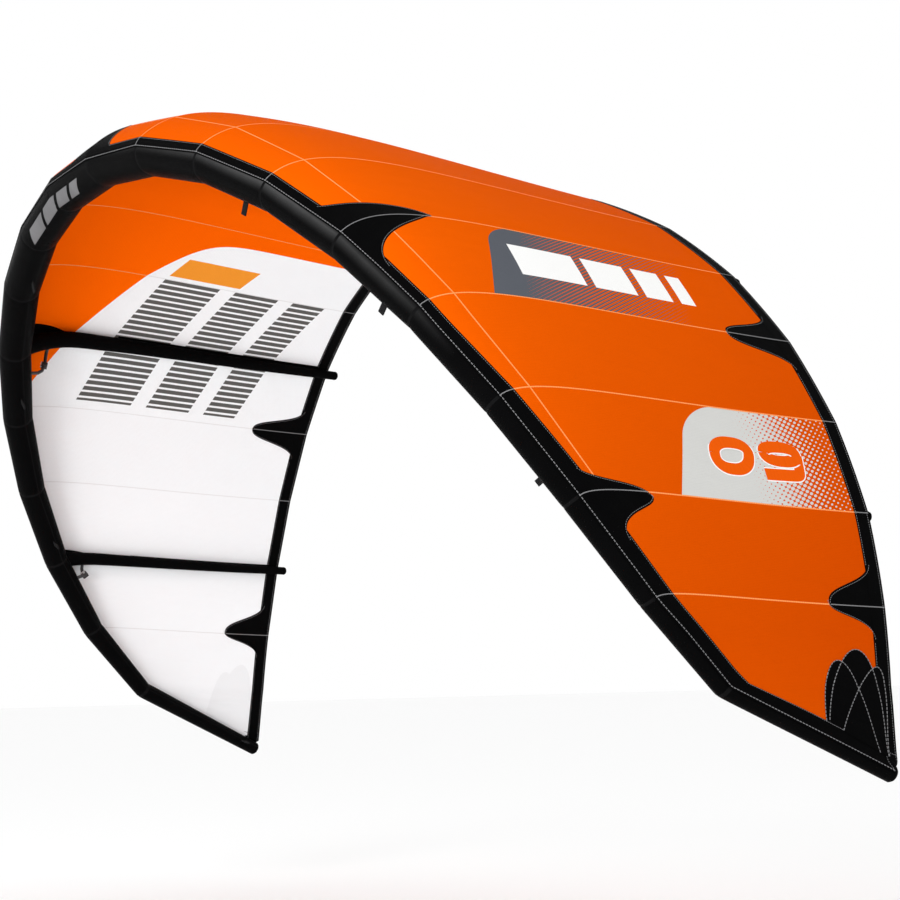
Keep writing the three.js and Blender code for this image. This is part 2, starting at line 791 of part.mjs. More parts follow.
function tab(name, rib, side) {
  const { lead, tangent, up, radius } = sectionAt(rib);
  const out = up.clone().addScaledVector(tangent, -up.dot(tangent)).normalize();
  const pivot = lead.clone().addScaledVector(out, -radius - TAB_THICK / 2 - TAB_GAP);
  const x = mirrored(tangent, side);
  const z = mirrored(out, side);
  const frame = new THREE.Matrix4().makeBasis(x, z.clone().cross(x), z);
  const mesh = named(name, tabShape(), CLOTHS.black);
  mesh.applyMatrix4(frame.setPosition(mirrored(pivot, side)));
  return mesh;
}

function tabs(side, word) {
  const front = LINE_TAB_RIBS.map((rib, index) => tab(`line_tab_${word}_${index + 1}`, rib, side));
  return [...front, tab(`tip_tab_${word}`, TIP_TAB_RIB, side)];
}

// ---------- the whole kite ----------

// The pieces outboard of the flex line sit in a group whose origin is on that line
function wingtip(side, word, pieces) {
  const section = sectionAt(FLEX_RIB);
  const group = new THREE.Group();
  group.name = `wingtip_${word}`;
  const pivot = section.lead.clone().addScaledVector(section.up, FLEX_RISE);
  group.position.copy(mirrored(pivot, side));
  group.quaternion.setFromUnitVectors(new THREE.Vector3(0, 1, 0), mirrored(section.chord, side));
  group.updateMatrixWorld();
  pieces.forEach((piece) => group.attach(piece));
  return group;
}

const OUTBOARD = /_(4|5|tip|outer)$|^leading_bladder_(left|right)$|^line_tab_.*_3$|^tip_tab/;

const kite = new THREE.Group();
kite.name = 'kitesurf_kite';
kite.add(valveRun(), centreBladder(), ...valves(), ...struts(), ...hoses());
for (const { side, word } of SIDES) {
  kite.add(...casings(side, word), tipBladder(side, word), ...canopyPanels(side, word));
  kite.add(...trailingBands(side, word), ...tabs(side, word));
  const outboard = kite.children.filter((piece) => piece.name.includes(word) && OUTBOARD.test(piece.name));
  kite.add(wingtip(side, word, outboard));
}

export default kite;
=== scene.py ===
"""The look of an inflatable kitesurf kite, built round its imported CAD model.

Metres and degrees, in the model's frame: +X right wing, +Y to the trailing edge, +Z up. A place along the
wing is a rib number, as in the CAD source: 0 at the middle, 9 at the last bend, 10 at the wingtip. A place
on the cloth is a rib number and a distance from the seam on the leading edge tube. The left wing mirrors
the right wing.
"""

import math

import bpy
import numpy as np
from mathutils import Matrix, Vector


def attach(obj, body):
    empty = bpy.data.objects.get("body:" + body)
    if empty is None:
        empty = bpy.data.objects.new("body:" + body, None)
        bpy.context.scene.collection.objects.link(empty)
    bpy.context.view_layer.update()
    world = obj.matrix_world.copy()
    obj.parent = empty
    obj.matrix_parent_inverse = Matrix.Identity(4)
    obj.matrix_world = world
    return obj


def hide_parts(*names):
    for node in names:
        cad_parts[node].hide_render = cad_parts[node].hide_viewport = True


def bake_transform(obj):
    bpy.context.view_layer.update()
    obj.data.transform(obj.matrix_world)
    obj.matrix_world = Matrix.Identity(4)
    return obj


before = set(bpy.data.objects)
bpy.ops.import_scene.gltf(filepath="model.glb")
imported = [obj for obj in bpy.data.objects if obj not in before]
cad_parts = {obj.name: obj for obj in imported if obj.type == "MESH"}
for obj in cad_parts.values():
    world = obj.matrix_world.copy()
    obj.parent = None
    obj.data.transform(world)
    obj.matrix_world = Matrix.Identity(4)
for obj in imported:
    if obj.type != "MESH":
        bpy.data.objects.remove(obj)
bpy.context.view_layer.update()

RIGHT, LEFT = 1, -1
SIDES = ((RIGHT, "right"), (LEFT, "left"))

# ---------- the wing's driving dimensions, as in the CAD source ----------

LAST_BEND = 9
TIP_RIB = 10
BAY_RUN = 0.365
TIP_RUN = 0.665
BAY_TURN = 10
TIP_TURN = 75
BAY_SWEEP = 4
HOOK_SWEEP = 8.6
HOOK_POWER = 6
TIP_SWEEP = 64
CENTRE_CHORD = 1.59
TRAIL_BACK = 0.14
TRAIL_BACK_RIB = 6.7
TRAIL_LIFT = 0.034
TRAIL_SPREAD = 0.04
SETTLE_RIB = 4
LAST_TRAIL_RIB = 8
TIP_TRAIL = np.array((0, 0.015, 0.03))
FLEX_RIB = 6
FLEX_RISE = 0.02

# Pairs are values at rib 0 and at rib 10
TUBE_RADIUS = (0.077, 0.028)
RADIUS_BELLY = 0.008
SEAM_ANGLE = (-86, -2)
LEAVE_ANGLE = (-44, -40)
NOSE_HANDLE = (0.21, 0.01)
REAR_HANDLE = 0.65
REAR_ANGLE = (9, -1)
LEAST_WRAP = 6

# Where the cloth ends on the tip tube. The CAD cloth ends at 9.93, which leaves a notch at the wingtip.
TIP_CLOTH_RIB = 9.97


def mix(first, last, share):
    return first + (last - first) * share


def smoothstep(value, low, high):
    share = np.clip((value - low) / (high - low), 0, 1)
    return share * share * (3 - 2 * share)


def graded(pair, rib):
    return mix(*pair, rib / TIP_RIB)


def unit(vector):
    return vector / np.linalg.norm(vector, axis=-1, keepdims=True)


def path_travel(points):
    """The distance along a path of points from its start to each of them."""
    return np.concatenate(([0], np.cumsum(np.linalg.norm(np.diff(points, axis=0), axis=1))))


def sampled(table, travel, places):
    """Rows of a table at the given places, where travel gives the place of each row it has."""
    return np.column_stack([np.interp(places, travel, column) for column in table.T])


def run_direction(turn, sweep):
    turn, sweep = math.radians(turn), math.radians(sweep)
    level = math.cos(sweep)
    return np.array((level * math.cos(turn), math.sin(sweep), -level * math.sin(turn)))


def lead_directions():
    middles = [bay + 0.5 for bay in range(LAST_BEND)]
    hooks = [HOOK_SWEEP * (middle / (LAST_BEND - 0.5)) ** HOOK_POWER for middle in middles]
    runs = [run_direction(BAY_TURN * m, BAY_SWEEP * m + hook) for m, hook in zip(middles, hooks)]
    return runs + [run_direction(TIP_TURN, TIP_SWEEP)]


def lead_corners(directions):
    corners = [np.zeros(3)]
    for bay, direction in enumerate(directions):
        corners.append(corners[-1] + direction * (BAY_RUN if bay < LAST_BEND else TIP_RUN))
    return corners


def rib_tangents(directions):
    inner = [unit(directions[rib - 1] + directions[rib]) for rib in range(1, TIP_RIB)]
    return [np.array((1.0, 0, 0))] + inner + [directions[-1]]


DIRECTIONS = lead_directions()
CORNERS = lead_corners(DIRECTIONS)
TANGENTS = rib_tangents(DIRECTIONS)


def between(places, rib):
    low = min(int(rib), TIP_RIB - 1)
    return mix(places[low], places[low + 1], rib - low)


def tube_radius(rib):
    share = rib / TIP_RIB
    return graded(TUBE_RADIUS, rib) + RADIUS_BELLY * 4 * share * (1 - share)


def trail_point(rib):
    if rib > LAST_TRAIL_RIB:
        share = (rib - LAST_TRAIL_RIB) / (TIP_RIB - LAST_TRAIL_RIB)
        return mix(trail_point(LAST_TRAIL_RIB), CORNERS[TIP_RIB] + TIP_TRAIL, share)
    turn = math.radians(BAY_TURN * rib)
    settle = smoothstep(rib, 0, SETTLE_RIB)
    point = between(CORNERS, rib).copy()
    point[0] += settle * (TRAIL_LIFT * math.sin(turn) + TRAIL_SPREAD * math.cos(turn))
    point[1] = CENTRE_CHORD + TRAIL_BACK * math.sin(math.pi / 2 * rib / TRAIL_BACK_RIB) ** 2
    point[2] += settle * (TRAIL_LIFT * math.cos(turn) - TRAIL_SPREAD * math.sin(turn))
    return point


def bezier(start, first, second, stop, share):
    """Points of a cubic curve, for a list of shares of its parameter."""
    t = np.asarray(share, float)[..., None]
    u = 1 - t
    ends = [np.asarray(point, float) for point in (start, first, second, stop)]
    return u ** 3 * ends[0] + 3 * u * u * t * ends[1] + 3 * u * t * t * ends[2] + t ** 3 * ends[3]


class Section:
    """The wing's cross-section at a rib: its ends, its axes and how the cloth leaves the tube."""

    def __init__(self, rib):
        self.rib = rib
        self.lead = between(CORNERS, rib)
        self.trail = trail_point(rib)
        self.tangent = unit(between(TANGENTS, rib))
        self.length = np.linalg.norm(self.trail - self.lead)
        self.chord = (self.trail - self.lead) / self.length
        self.span = unit(self.tangent - self.chord * self.tangent.dot(self.chord))
        self.up = np.cross(self.span, self.chord)
        self.back = unit(self.chord - self.tangent * self.chord.dot(self.tangent))
        self.radius = tube_radius(rib)
        straight = math.degrees(math.asin(self.radius / self.length))
        flat = smoothstep(rib, LAST_TRAIL_RIB, LAST_BEND)
        self.leave = mix(max(graded(SEAM_ANGLE, rib), graded(LEAVE_ANGLE, rib)), straight, flat)
        self.rise = mix(graded(REAR_ANGLE, rib), straight, flat)
        self.seam = min(graded(SEAM_ANGLE, rib), self.leave - LEAST_WRAP)

    def around(self, degrees):
        """Directions square to the tube, measured from its top and positive to the rear."""
        angle = np.radians(degrees)
        return np.multiply.outer(np.cos(angle), self.up) + np.multiply.outer(np.sin(angle), self.back)

    def profile(self, shares):
        """Points and directions of the cloth from where it leaves the tube to the trailing edge."""
        leave, rise = math.radians(self.leave), math.radians(self.rise)
        nose, rear = graded(NOSE_HANDLE, self.rib) * self.length, REAR_HANDLE * self.length
        start = self.lead + self.radius * self.around(self.leave)
        first = start + nose * (math.cos(leave) * self.back - math.sin(leave) * self.up)
        second = self.trail + rear * (math.sin(rise) * self.up - math.cos(rise) * self.chord)
        points = bezier(start, first, second, self.trail, shares)
        return points, unit(np.gradient(points, axis=0))


# ---------- the cloth as a table of points, by rib and by distance from the seam ----------

BAY_STEPS = 12
CLOTH_SHARES = np.linspace(0, 1, 97)
WRAP_SAMPLES = 40
PROFILE_SAMPLES = 400
CLOTH_RISE = 0.0014
BILLOW = (0.0045, 0.002)
BILLOW_START, BILLOW_FULL = 0.1, 0.6
CLOTH_RIBS = np.concatenate((
    np.linspace(0, LAST_BEND, LAST_BEND * BAY_STEPS + 1),
    np.linspace(LAST_BEND, TIP_CLOTH_RIB, BAY_STEPS + 1)[1:],
))


def cloth_line(rib):
    """Points and outward directions at a rib, evenly spaced from seam to trailing edge, and the length."""
    section = Section(rib)
    angles = np.linspace(section.seam, section.leave, WRAP_SAMPLES)[:-1]
    outward = section.around(angles)
    points, slopes = section.profile(np.linspace(0, 1, PROFILE_SAMPLES))
    points = np.vstack((section.lead + section.radius * outward, points))
    normals = unit(np.vstack((outward, np.cross(section.span, slopes))))
    travel = path_travel(points)
    places = CLOTH_SHARES * travel[-1]
    points, normals = (sampled(table, travel, places) for table in (points, normals))
    bay = rib % 1
    hump = graded(BILLOW, rib) * 4 * bay * (1 - bay) * smoothstep(places, BILLOW_START, BILLOW_FULL)
    return points + normals * (hump + CLOTH_RISE)[:, None], unit(normals), travel[-1]


def cloth_table():
    lines = [cloth_line(rib) for rib in CLOTH_RIBS]
    return [np.array(values) for values in zip(*lines)]


CLOTH_POINTS, CLOTH_NORMALS, CLOTH_LENGTHS = cloth_table()


def cloth_length(rib):
    """Distance over the cloth at a rib, from the seam on the tube to the trailing edge."""
    return np.interp(rib, CLOTH_RIBS, CLOTH_LENGTHS)


def on_cloth(rib, seam, lift=0.0):
    """Points lifted off the cloth, and its outward directions. rib and seam are arrays of one shape."""
    row = np.clip(np.interp(rib, CLOTH_RIBS, np.arange(len(CLOTH_RIBS))), 0, len(CLOTH_RIBS) - 1.001)
    column = np.clip(seam / cloth_length(rib), 0, 1) * (len(CLOTH_SHARES) - 1)
    column = np.minimum(column, len(CLOTH_SHARES) - 1.001)
    low_row, low_column = row.astype(int), column.astype(int)
    across, along = (row - low_row)[..., None], (column - low_column)[..., None]

    def blended(table):
        near = mix(table[low_row, low_column], table[low_row, low_column + 1], along)
        far = mix(table[low_row + 1, low_column], table[low_row + 1, low_column + 1], along)
        return mix(near, far, across)

    normals = unit(blended(CLOTH_NORMALS))
    return blended(CLOTH_POINTS) + normals * lift, normals


# ---------- meshes ----------


def grid_faces(rows, columns, start=0, closed=False):
    """Quads between neighbouring points of a grid. A closed grid joins its last column to its first."""
    quads_across = columns if closed else columns - 1
    row, column = np.meshgrid(np.arange(rows - 1), np.arange(quads_across), indexing="ij")
    here, beside = row * columns, (column + 1) % columns
    quads = (here + column, here + beside, here + columns + beside, here + columns + column)
    return np.stack(quads, -1).reshape(-1, 4) + start


class Sewing:
    """Collects thin bodies of cloth into one mesh, with each point's place on the wing and in the weave."""

    def __init__(self):
        self.points, self.faces, self.wing, self.weave, self.count = [], [], [], [], 0

    def add(self, points, faces, rib, seam):
        """Adds one closed body. rib and seam give the place of each of its points on the cloth."""
        rib, seam = np.ravel(rib), np.ravel(seam)
        self.points.append(points.reshape(-1, 3))
        self.wing.append(np.column_stack((rib, seam, cloth_length(rib) - seam)))
        self.weave.append(np.column_stack((rib * BAY_RUN, seam, np.zeros_like(rib))))
        self.faces += (faces + self.count).tolist()
        self.count += len(rib)

    def slab(self, rib, seam, low, high):
        """A thin closed body over a grid of places on the cloth, from lift low to lift high."""
        rows, columns = rib.shape
        top, _ = on_cloth(rib, seam, high)
        under, _ = on_cloth(rib, seam, low)
        size = rows * columns
        upper = grid_faces(rows, columns)
        lower = grid_faces(rows, columns, size)[:, ::-1]
        index = np.arange(size).reshape(rows, columns)
        border = np.concatenate((index[0, :-1], index[:-1, -1], index[-1, :0:-1], index[:0:-1, 0]))
        ahead = np.roll(border, -1)
        rim = np.column_stack((ahead, border, border + size, ahead + size))
        faces = np.vstack((upper, lower, rim))
        self.add(np.stack((top, under)), faces, np.stack((rib, rib)), np.stack((seam, seam)))

    def patch(self, first, last, low, high, lengthwise, across):
        """A slab between two lines on the cloth. A line gives places (rib, seam) for a list of shares."""
        shares = np.linspace(0, 1, lengthwise)
        start, stop = first(shares)[:, None, :], last(shares)[:, None, :]
        places = mix(start, stop, np.linspace(0, 1, across)[None, :, None])
        self.slab(places[..., 0], places[..., 1], low, high)

    def ribbon(self, line, width, low, high, steps):
        """A narrow strip along a whole line on the cloth."""
        self.ribbons(line, width, low, high, [(0.0, 1.0)], steps, steps)

    def stitches(self, line, width, low, high, pitch, dash, steps):
        """Dashes along a line on the cloth, one for each pitch of its true length."""
        length = line_travel(line, steps)[-1]
        count = max(1, round(length / pitch))
        starts = (np.arange(count) + 0.5) / count
        spans = [(start - dash / length / 2, start + dash / length / 2) for start in starts]
        self.ribbons(line, width, low, high, spans, steps, 2)

    def ribbons(self, line, width, low, high, spans, steps, count):
        """Strips of count points each along a line, over spans of shares of its true length."""
        places = line(np.linspace(0, 1, steps))
        travel = line_travel(line, steps)
        travel = travel / travel[-1]
        corners = ((-1, low), (1, low), (1, high), (-1, high))
        ends = np.array(((3, 2, 1, 0), (0, 1, 2, 3))) + ((0,), (4 * (count - 1),))
        faces = np.vstack((grid_faces(count, 4, closed=True)[:, ::-1], ends))
        for start, stop in spans:
            rib, seam = sampled(places, travel, np.linspace(start, stop, count)).T
            centre, normal = on_cloth(rib, seam)
            forward = unit(np.gradient(centre, axis=0))
            side = unit(np.cross(normal, forward)) * width / 2
            ring = np.stack([centre + side * way + normal * lift for way, lift in corners], axis=1)
            self.add(ring, faces, np.repeat(rib, 4), np.repeat(seam, 4))

    def build(self, name, side, material):
        return mesh_object(
            name, np.vstack(self.points), self.faces, side, material,
            wing=np.vstack(self.wing), weave=np.vstack(self.weave),
        )


def line_travel(line, steps):
    """Distances along a line on the cloth, at evenly spaced shares."""
    places = line(np.linspace(0, 1, steps))
    return path_travel(on_cloth(places[:, 0], places[:, 1])[0])


def scene_object(name, data):
    obj = bpy.data.objects.new(name, data)
    bpy.context.collection.objects.link(obj)
    return obj


def mesh_object(name, points, faces, side, material, **fields):
    """A mesh with smooth faces that point out. fields are vectors kept at each point for the materials."""
    mesh = bpy.data.meshes.new(name)
    placed = np.asarray(points, float) * (side, 1, 1)
    ordered = [list(face) if side == RIGHT else list(face)[::-1] for face in faces]
    mesh.from_pydata(placed.tolist(), [], ordered)
    for field, values in fields.items():
        attribute = mesh.attributes.new(field, "FLOAT_VECTOR", "POINT")
        attribute.data.foreach_set("vector", np.asarray(values, np.float32).ravel())
    mesh.polygons.foreach_set("use_smooth", [True] * len(mesh.polygons))
    mesh.set_sharp_from_angle(angle=math.radians(50))
    mesh.materials.append(material)
    mesh.update()
    return scene_object(name, mesh)


# ---------- procedural materials ----------


def operation(name, swapped=False):
    """A method that puts a signal, and perhaps one other value, through a Math node."""
    def method(signal, other=0.0):
        inputs = (other, signal) if swapped else (signal, other)
        return signal.paint.math(name, *inputs)
    return method


class Signal:
    """A number that varies over a surface, so that patterns can be written as sums."""

    __add__ = __radd__ = operation("ADD")
    __sub__, __rsub__ = operation("SUBTRACT"), operation("SUBTRACT", swapped=True)
    __mul__ = __rmul__ = operation("MULTIPLY")
    __truediv__ = operation("DIVIDE")
    __gt__, __lt__ = operation("GREATER_THAN"), operation("LESS_THAN")
    least, most = operation("MINIMUM"), operation("MAXIMUM")
    fraction, floor = operation("FRACT"), operation("FLOOR")
    power, exponent = operation("POWER"), operation("EXPONENT")
    logarithm, size, wave = operation("LOGARITHM"), operation("ABSOLUTE"), operation("SINE")

    def __init__(self, paint, socket):
        self.paint, self.socket = paint, socket

    def within(self, low, high):
        return (self > low) * (self < high)

    def clamped(self):
        return self.most(0.0).least(1.0)


class Paint:
    """A material built from a Principled shader and patterns. Values and colours may be fixed or vary."""

    def __init__(self, name, colour, roughness, **settings):
        self.material = bpy.data.materials.new(name)
        self.material.use_nodes = True
        self.nodes, self.links = self.material.node_tree.nodes, self.material.node_tree.links
        self.shader = self.nodes["Principled BSDF"]
        self.shader.inputs["Base Color"].default_value = (*colour, 1)
        self.shader.inputs["Roughness"].default_value = roughness
        for socket, value in settings.items():
            self.shader.inputs[socket.replace("_", " ")].default_value = value

    def place(self, socket, value):
        if isinstance(value, Signal):
            self.links.new(value.socket, socket)
        elif isinstance(value, bpy.types.NodeSocket):
            self.links.new(value, socket)
        else:
            socket.default_value = value

    def math(self, name, first, second):
        node = self.nodes.new("ShaderNodeMath")
        node.operation = name
        self.place(node.inputs[0], first)
        self.place(node.inputs[1], second)
        return Signal(self, node.outputs[0])

    def parts(self, vector):
        """The three numbers of a vector, each as a signal."""
        node = self.nodes.new("ShaderNodeSeparateXYZ")
        self.links.new(vector, node.inputs[0])
        return [Signal(self, output) for output in node.outputs]

    def field(self, name):
        """The three numbers of a vector kept at each point of the mesh."""
        source = self.nodes.new("ShaderNodeAttribute")
        source.attribute_name = name
        return self.parts(source.outputs["Vector"])

    def position(self):
        """The three coordinates in the object's own space."""
        return self.parts(self.nodes.new("ShaderNodeTexCoord").outputs["Object"])

    def noise(self, parts, scales, detail=3.0):
        """Cloudy noise from 0 to 1. scales are the clouds to one unit of each of the three parts."""
        joined = self.nodes.new("ShaderNodeCombineXYZ")
        for socket, part, scale in zip(joined.inputs, parts, scales):
            self.place(socket, part * scale)
        node = self.nodes.new("ShaderNodeTexNoise")
        node.inputs["Scale"].default_value = 1.0
        node.inputs["Detail"].default_value = detail
        self.links.new(joined.outputs[0], node.inputs["Vector"])
        return Signal(self, node.outputs["Fac"])

    def blend(self, mask, base, over):
        """Colour base where the mask is 0 and colour over where it is 1."""
        node = self.nodes.new("ShaderNodeMix")
        node.data_type = "RGBA"
        self.place(node.inputs["Factor"], mask)
        for socket, colour in (("A", base), ("B", over)):
            inputs = [s for s in node.inputs if s.name == socket and s.type == "RGBA"]
            self.place(inputs[0], (*colour, 1) if isinstance(colour, tuple) else colour)
        return [s for s in node.outputs if s.type == "RGBA"][0]

    def scaled(self, colour, factor):
        """A colour made lighter or darker by a varying factor."""
        node = self.nodes.new("ShaderNodeVectorMath")
        node.operation = "SCALE"
        self.place(node.inputs["Vector"], colour)
        self.place(node.inputs["Scale"], factor)
        return node.outputs["Vector"]

    def finish(self, colour=None, roughness=None, height=None, depth=0.001, strength=0.5):
        """Connects the patterns. height is relief from 0 to 1, depth metres deep."""
        if colour is not None:
            self.place(self.shader.inputs["Base Color"], colour)
        if roughness is not None:
            self.place(self.shader.inputs["Roughness"], roughness)
        if height is not None:
            bump = self.nodes.new("ShaderNodeBump")
            bump.inputs["Strength"].default_value = strength
            bump.inputs["Distance"].default_value = depth
            self.place(bump.inputs["Height"], height)
            self.links.new(bump.outputs["Normal"], self.shader.inputs["Normal"])
        return self.material


ORANGE = (0.80, 0.106, 0.0005)
# Painted shade: the darkest orange, where the cloth is shaded, also taking a little random tone
SHADE_AND_CLOUD_ORANGE = (0.56, 0.056, 0.0003)
SEAM_ORANGE = (0.9, 0.3, 0.085)
WHITE = (0.93, 0.965, 0.985)
PRINT_WHITE = (0.9, 0.9, 0.89)
PALE_GREY = (0.6, 0.6, 0.58)
SEAM_GREY = (0.78, 0.8, 0.81)
PANEL_GREY = (0.1, 0.108, 0.126)
FIELD_GREY = (0.112, 0.112, 0.107)
YELLOW = (0.9, 0.32, 0.033)
TUBE_PRINT = (0.16, 0.16, 0.165)
SEAM_BLACK = (0.006, 0.006, 0.0063)
BLACK = (0.0015, 0.0015, 0.0016)
# Painted highlight: the grey of the highlight on the upper front of the leading edge tube
PAINTED_HIGHLIGHT_GREY = (0.075, 0.075, 0.076)
INK = (0.78, 0.098, 0.001)
FILM = (0.72, 0.72, 0.7)

RIPSTOP_PITCH, RIPSTOP_SHARE = 0.006, 0.16
THREAD_PITCH = 0.0012

# Clouds to the metre
CREASES = (9.0, 3.5, 0.0)
WORN_PATCHES = (3.0, 3.0, 0.0)
INK_GRAIN = (160.0, 160.0, 0.0)


def ripples(place, pitch):
    """Relief of even ridges, one for each pitch."""
    return (place * (2 * math.pi / pitch)).wave() * 0.5 + 0.5


def ripstop(along, chord):
    """Relief of thick threads in a square grid."""
    first, second = ((place / RIPSTOP_PITCH).fraction() < RIPSTOP_SHARE for place in (along, chord))
    return first.most(second)


def weave_relief(first, second, pitch=THREAD_PITCH):
    """Relief of a plain weave of threads that run in two directions."""
    turn = 2 * math.pi / pitch
    return (first * turn).wave() * (second * turn).wave() * 0.5 + 0.5


def bars_at(place, bars):
    """1 on each of the bars, which are given by where they start and how long they are."""
    shown = 0.0
    for start, length in bars:
        shown = place.within(start, start + length) + shown
    return shown


# The two panels on the right wing: their two ribs, how far back the front edge is at the upper one, how much
# further forward it is at the lower one, and the radius of the front upper corner
DARK_PANEL = (4.0, 5.0, 0.528, 0.263, 0.09)
PALE_PANEL = (6.0, 7.0, 0.676, 0.295, 0.13)


def panel_shape(rib, seam, top, bottom, front, slope, radius):
    """Distances down from a panel's top and in from its front, and 1 inside it."""
    down = (rib - top) * BAY_RUN
    inward = seam - front + (rib - top) * slope
    corner = ((radius - down).most(0.0)).power(2.0) + ((radius - inward).most(0.0)).power(2.0)
    inside = rib.within(top, bottom) * (inward > 0.0) * (1 - (corner > radius * radius))
    return down, inward, inside


def dark_panel(rib, seam):
    """The dark panel, solid at its front and fading to the rear in slanted stripes, and its white bars."""
    solid, faded, pitch, lean = 0.12, 0.78, 0.021, 1.9
    down, inward, inside = panel_shape(rib, seam, *DARK_PANEL)
    duty = (1 - (inward - solid) / (faded - solid)).clamped()
    stripe = ((seam + down * lean) / pitch).fraction() < duty
    bar_lean, bar_top, bar_bottom = 0.3, 0.09, 0.245
    bars = bars_at(inward - down * bar_lean, ((0.04, 0.25), (0.325, 0.17), (0.53, 0.11), (0.675, 0.06)))
    return inside * stripe, inside * bars * down.within(bar_top, bar_bottom)


def pale_panel(rib, seam):
    """The pale panel, which breaks up towards the trailing edge into dots that get smaller."""
    start, reach, pitch = 0.80, 0.42, 0.0155
    solid_size, shrink = 0.78, 0.6
    down, _, inside = panel_shape(rib, seam, *PALE_PANEL)
    fade = ((seam - start + down * 0.5) / reach).clamped()
    # Places in a slanted grid of dots, from the middle of each dot
    first = ((seam * 0.75 + down) / pitch).fraction() - 0.5
    second = ((seam * 0.35 - down * 0.55) / pitch).fraction() - 0.5
    from_dot = (first.power(2.0) + second.power(2.0)).power(0.5)
    return inside * (from_dot < (solid_size - fade * shrink))


def white_wing(rib, seam):
    """1 on the white part of the left wing, outside an edge that bends from level to slanted."""
    level, reach, slope, start, bend = 2.24, 4.61, 3.3, 0.168, 0.2
    straight = (reach - (seam - start) * slope - level) / bend
    curve = (straight.least(60.0).exponent() + 1.0).logarithm(math.e)
    return rib > curve * bend + level


# The left wing's prints lean, by so many metres a rib
FIELD_RIB = 3.0
FIELD_LEAN = 0.207


def striped_field(rib, seam):
    """Three slanted bars of grey stripes on the left wing."""
    last_rib, pitch, duty = 4.88, 0.0305, 0.66
    stripe = ((rib * BAY_RUN) / pitch).fraction() < duty
    bars = bars_at(seam + (rib - FIELD_RIB) * FIELD_LEAN, ((0.74, 0.25), (1.06, 0.2), (1.33, 0.15)))
    return rib.within(FIELD_RIB, last_rib) * bars * stripe


def yellow_block(rib, seam):
    ribs, places = (2.62, 2.94), (0.74, 1.06)
    return rib.within(*ribs) * (seam + (rib - FIELD_RIB) * FIELD_LEAN).within(*places)


# Arches outside the wingtip: rib and distance from the trailing edge at the peak, then lean and width
ARCH_SHADOWS = ((8.70, 0.202, -0.017, 0.106), (8.56, 0.125, 0.035, 0.120))


def tip_shadow(rib, trail):
    """Where the black arches on the outside of the wingtip show faintly through white cloth."""
    shown = 0.0
    for peak, place, lean, width in ARCH_SHADOWS:
        drop = (rib - peak).most(0.0)
        offset = (trail - place - drop * lean) / width
        shown = (offset * offset < drop) + shown
    return shown.least(1.0)


def painted_light_and_shade_orange(paint, side, rib, seam, clouds):
    """Orange with painted shade, darker towards the middle, the rear and, on the right, the outer bays, and
    a little random cloudy tone. On the left the orange is painted lighter away from the middle.
    """
    rear_start, rear_reach, rear_share = 0.15, 1.4, 0.45
    outer_rib, outer_ribs, outer_share = 4.4, 4.0, 0.6
    middle_fall, middle_share, inner_fall, cloud_share, left_painted_light = 0.3, 0.3, 0.6, 0.1, 0.3
    rear = ((seam - rear_start) / rear_reach).clamped() * rear_share
    middle = (1 - rib * middle_fall).clamped() * middle_share
    if side == RIGHT:
        outer = ((rib - outer_rib) / outer_ribs).clamped() * outer_share
        depth = (rear + outer + middle + clouds * cloud_share).clamped()
        return paint.blend(depth, ORANGE, SHADE_AND_CLOUD_ORANGE)
    inner = (1 - rib * inner_fall).clamped()
    colour = paint.blend(rear * inner + middle + clouds * cloud_share, ORANGE, SHADE_AND_CLOUD_ORANGE)
    # Painted light: the left wing's orange is made up to 30 per cent lighter away from the middle
    return paint.scaled(colour, 1 + left_painted_light - inner * left_painted_light)


def printed_colour(paint, side):
    """The printed colours of one wing over orange with painted light and shade, from the place on the cloth.
    """
    front_hem, rear_hem, shadow = 0.034, 0.02, 0.06
    rib, seam, trail = paint.field("wing")
    clouds = paint.noise((rib, seam, trail), (0.7, 1.6, 0.0))
    colour = painted_light_and_shade_orange(paint, side, rib, seam, clouds)
    if side == RIGHT:
        panel, bars = dark_panel(rib, seam)
        prints = ((panel, PANEL_GREY), (bars, PRINT_WHITE), (pale_panel(rib, seam), PALE_GREY))
    else:
        white = paint.scaled(WHITE, 1 - tip_shadow(rib, trail) * shadow)
        stripes, block = striped_field(rib, seam), yellow_block(rib, seam)
        prints = ((white_wing(rib, seam), white), (stripes, FIELD_GREY), (block, YELLOW))
    for mask, over in prints:
        colour = paint.blend(mask, colour, over)
    return paint.blend((seam < front_hem).most(trail < rear_hem), colour, BLACK)


def canopy_material(side, word):
    paint = Paint(f"canopy_cloth_{word}", ORANGE, 0.5, Specular_IOR_Level=0.0008)
    along, chord, _ = paint.field("weave")
    grid = ripstop(along, chord)
    creases = paint.noise((along, chord, chord), CREASES, detail=4.0)
    relief = creases * 0.85 + grid * 0.05 + weave_relief(along, chord) * 0.02
    colour = paint.scaled(printed_colour(paint, side), 1.0 - grid * 0.09)
    return paint.finish(colour, creases * 0.16 + 0.42, relief, depth=0.016, strength=0.5)


def seam_material(side, word):
    """Sewn seams: light orange over orange cloth and light grey over white cloth, with painted shade in
    their puckers.
    """
    paint = Paint(f"canopy_seam_{word}", SEAM_ORANGE, 0.55, Specular_IOR_Level=0.05)
    rib, seam, _ = paint.field("wing")
    along, chord, _ = paint.field("weave")
    puckers = ripples(chord + along, 0.009)
    # Painted shade: darker in the hollows of the puckers and lighter on their ridges
    colour = paint.scaled(SEAM_ORANGE, 0.88 + puckers * 0.18)
    if side == LEFT:
        grey = paint.scaled(SEAM_GREY, 0.94 + puckers * 0.1)
        colour = paint.blend(white_wing(rib, seam), colour, grey)
    return paint.finish(colour, height=puckers, depth=0.0012, strength=0.6)


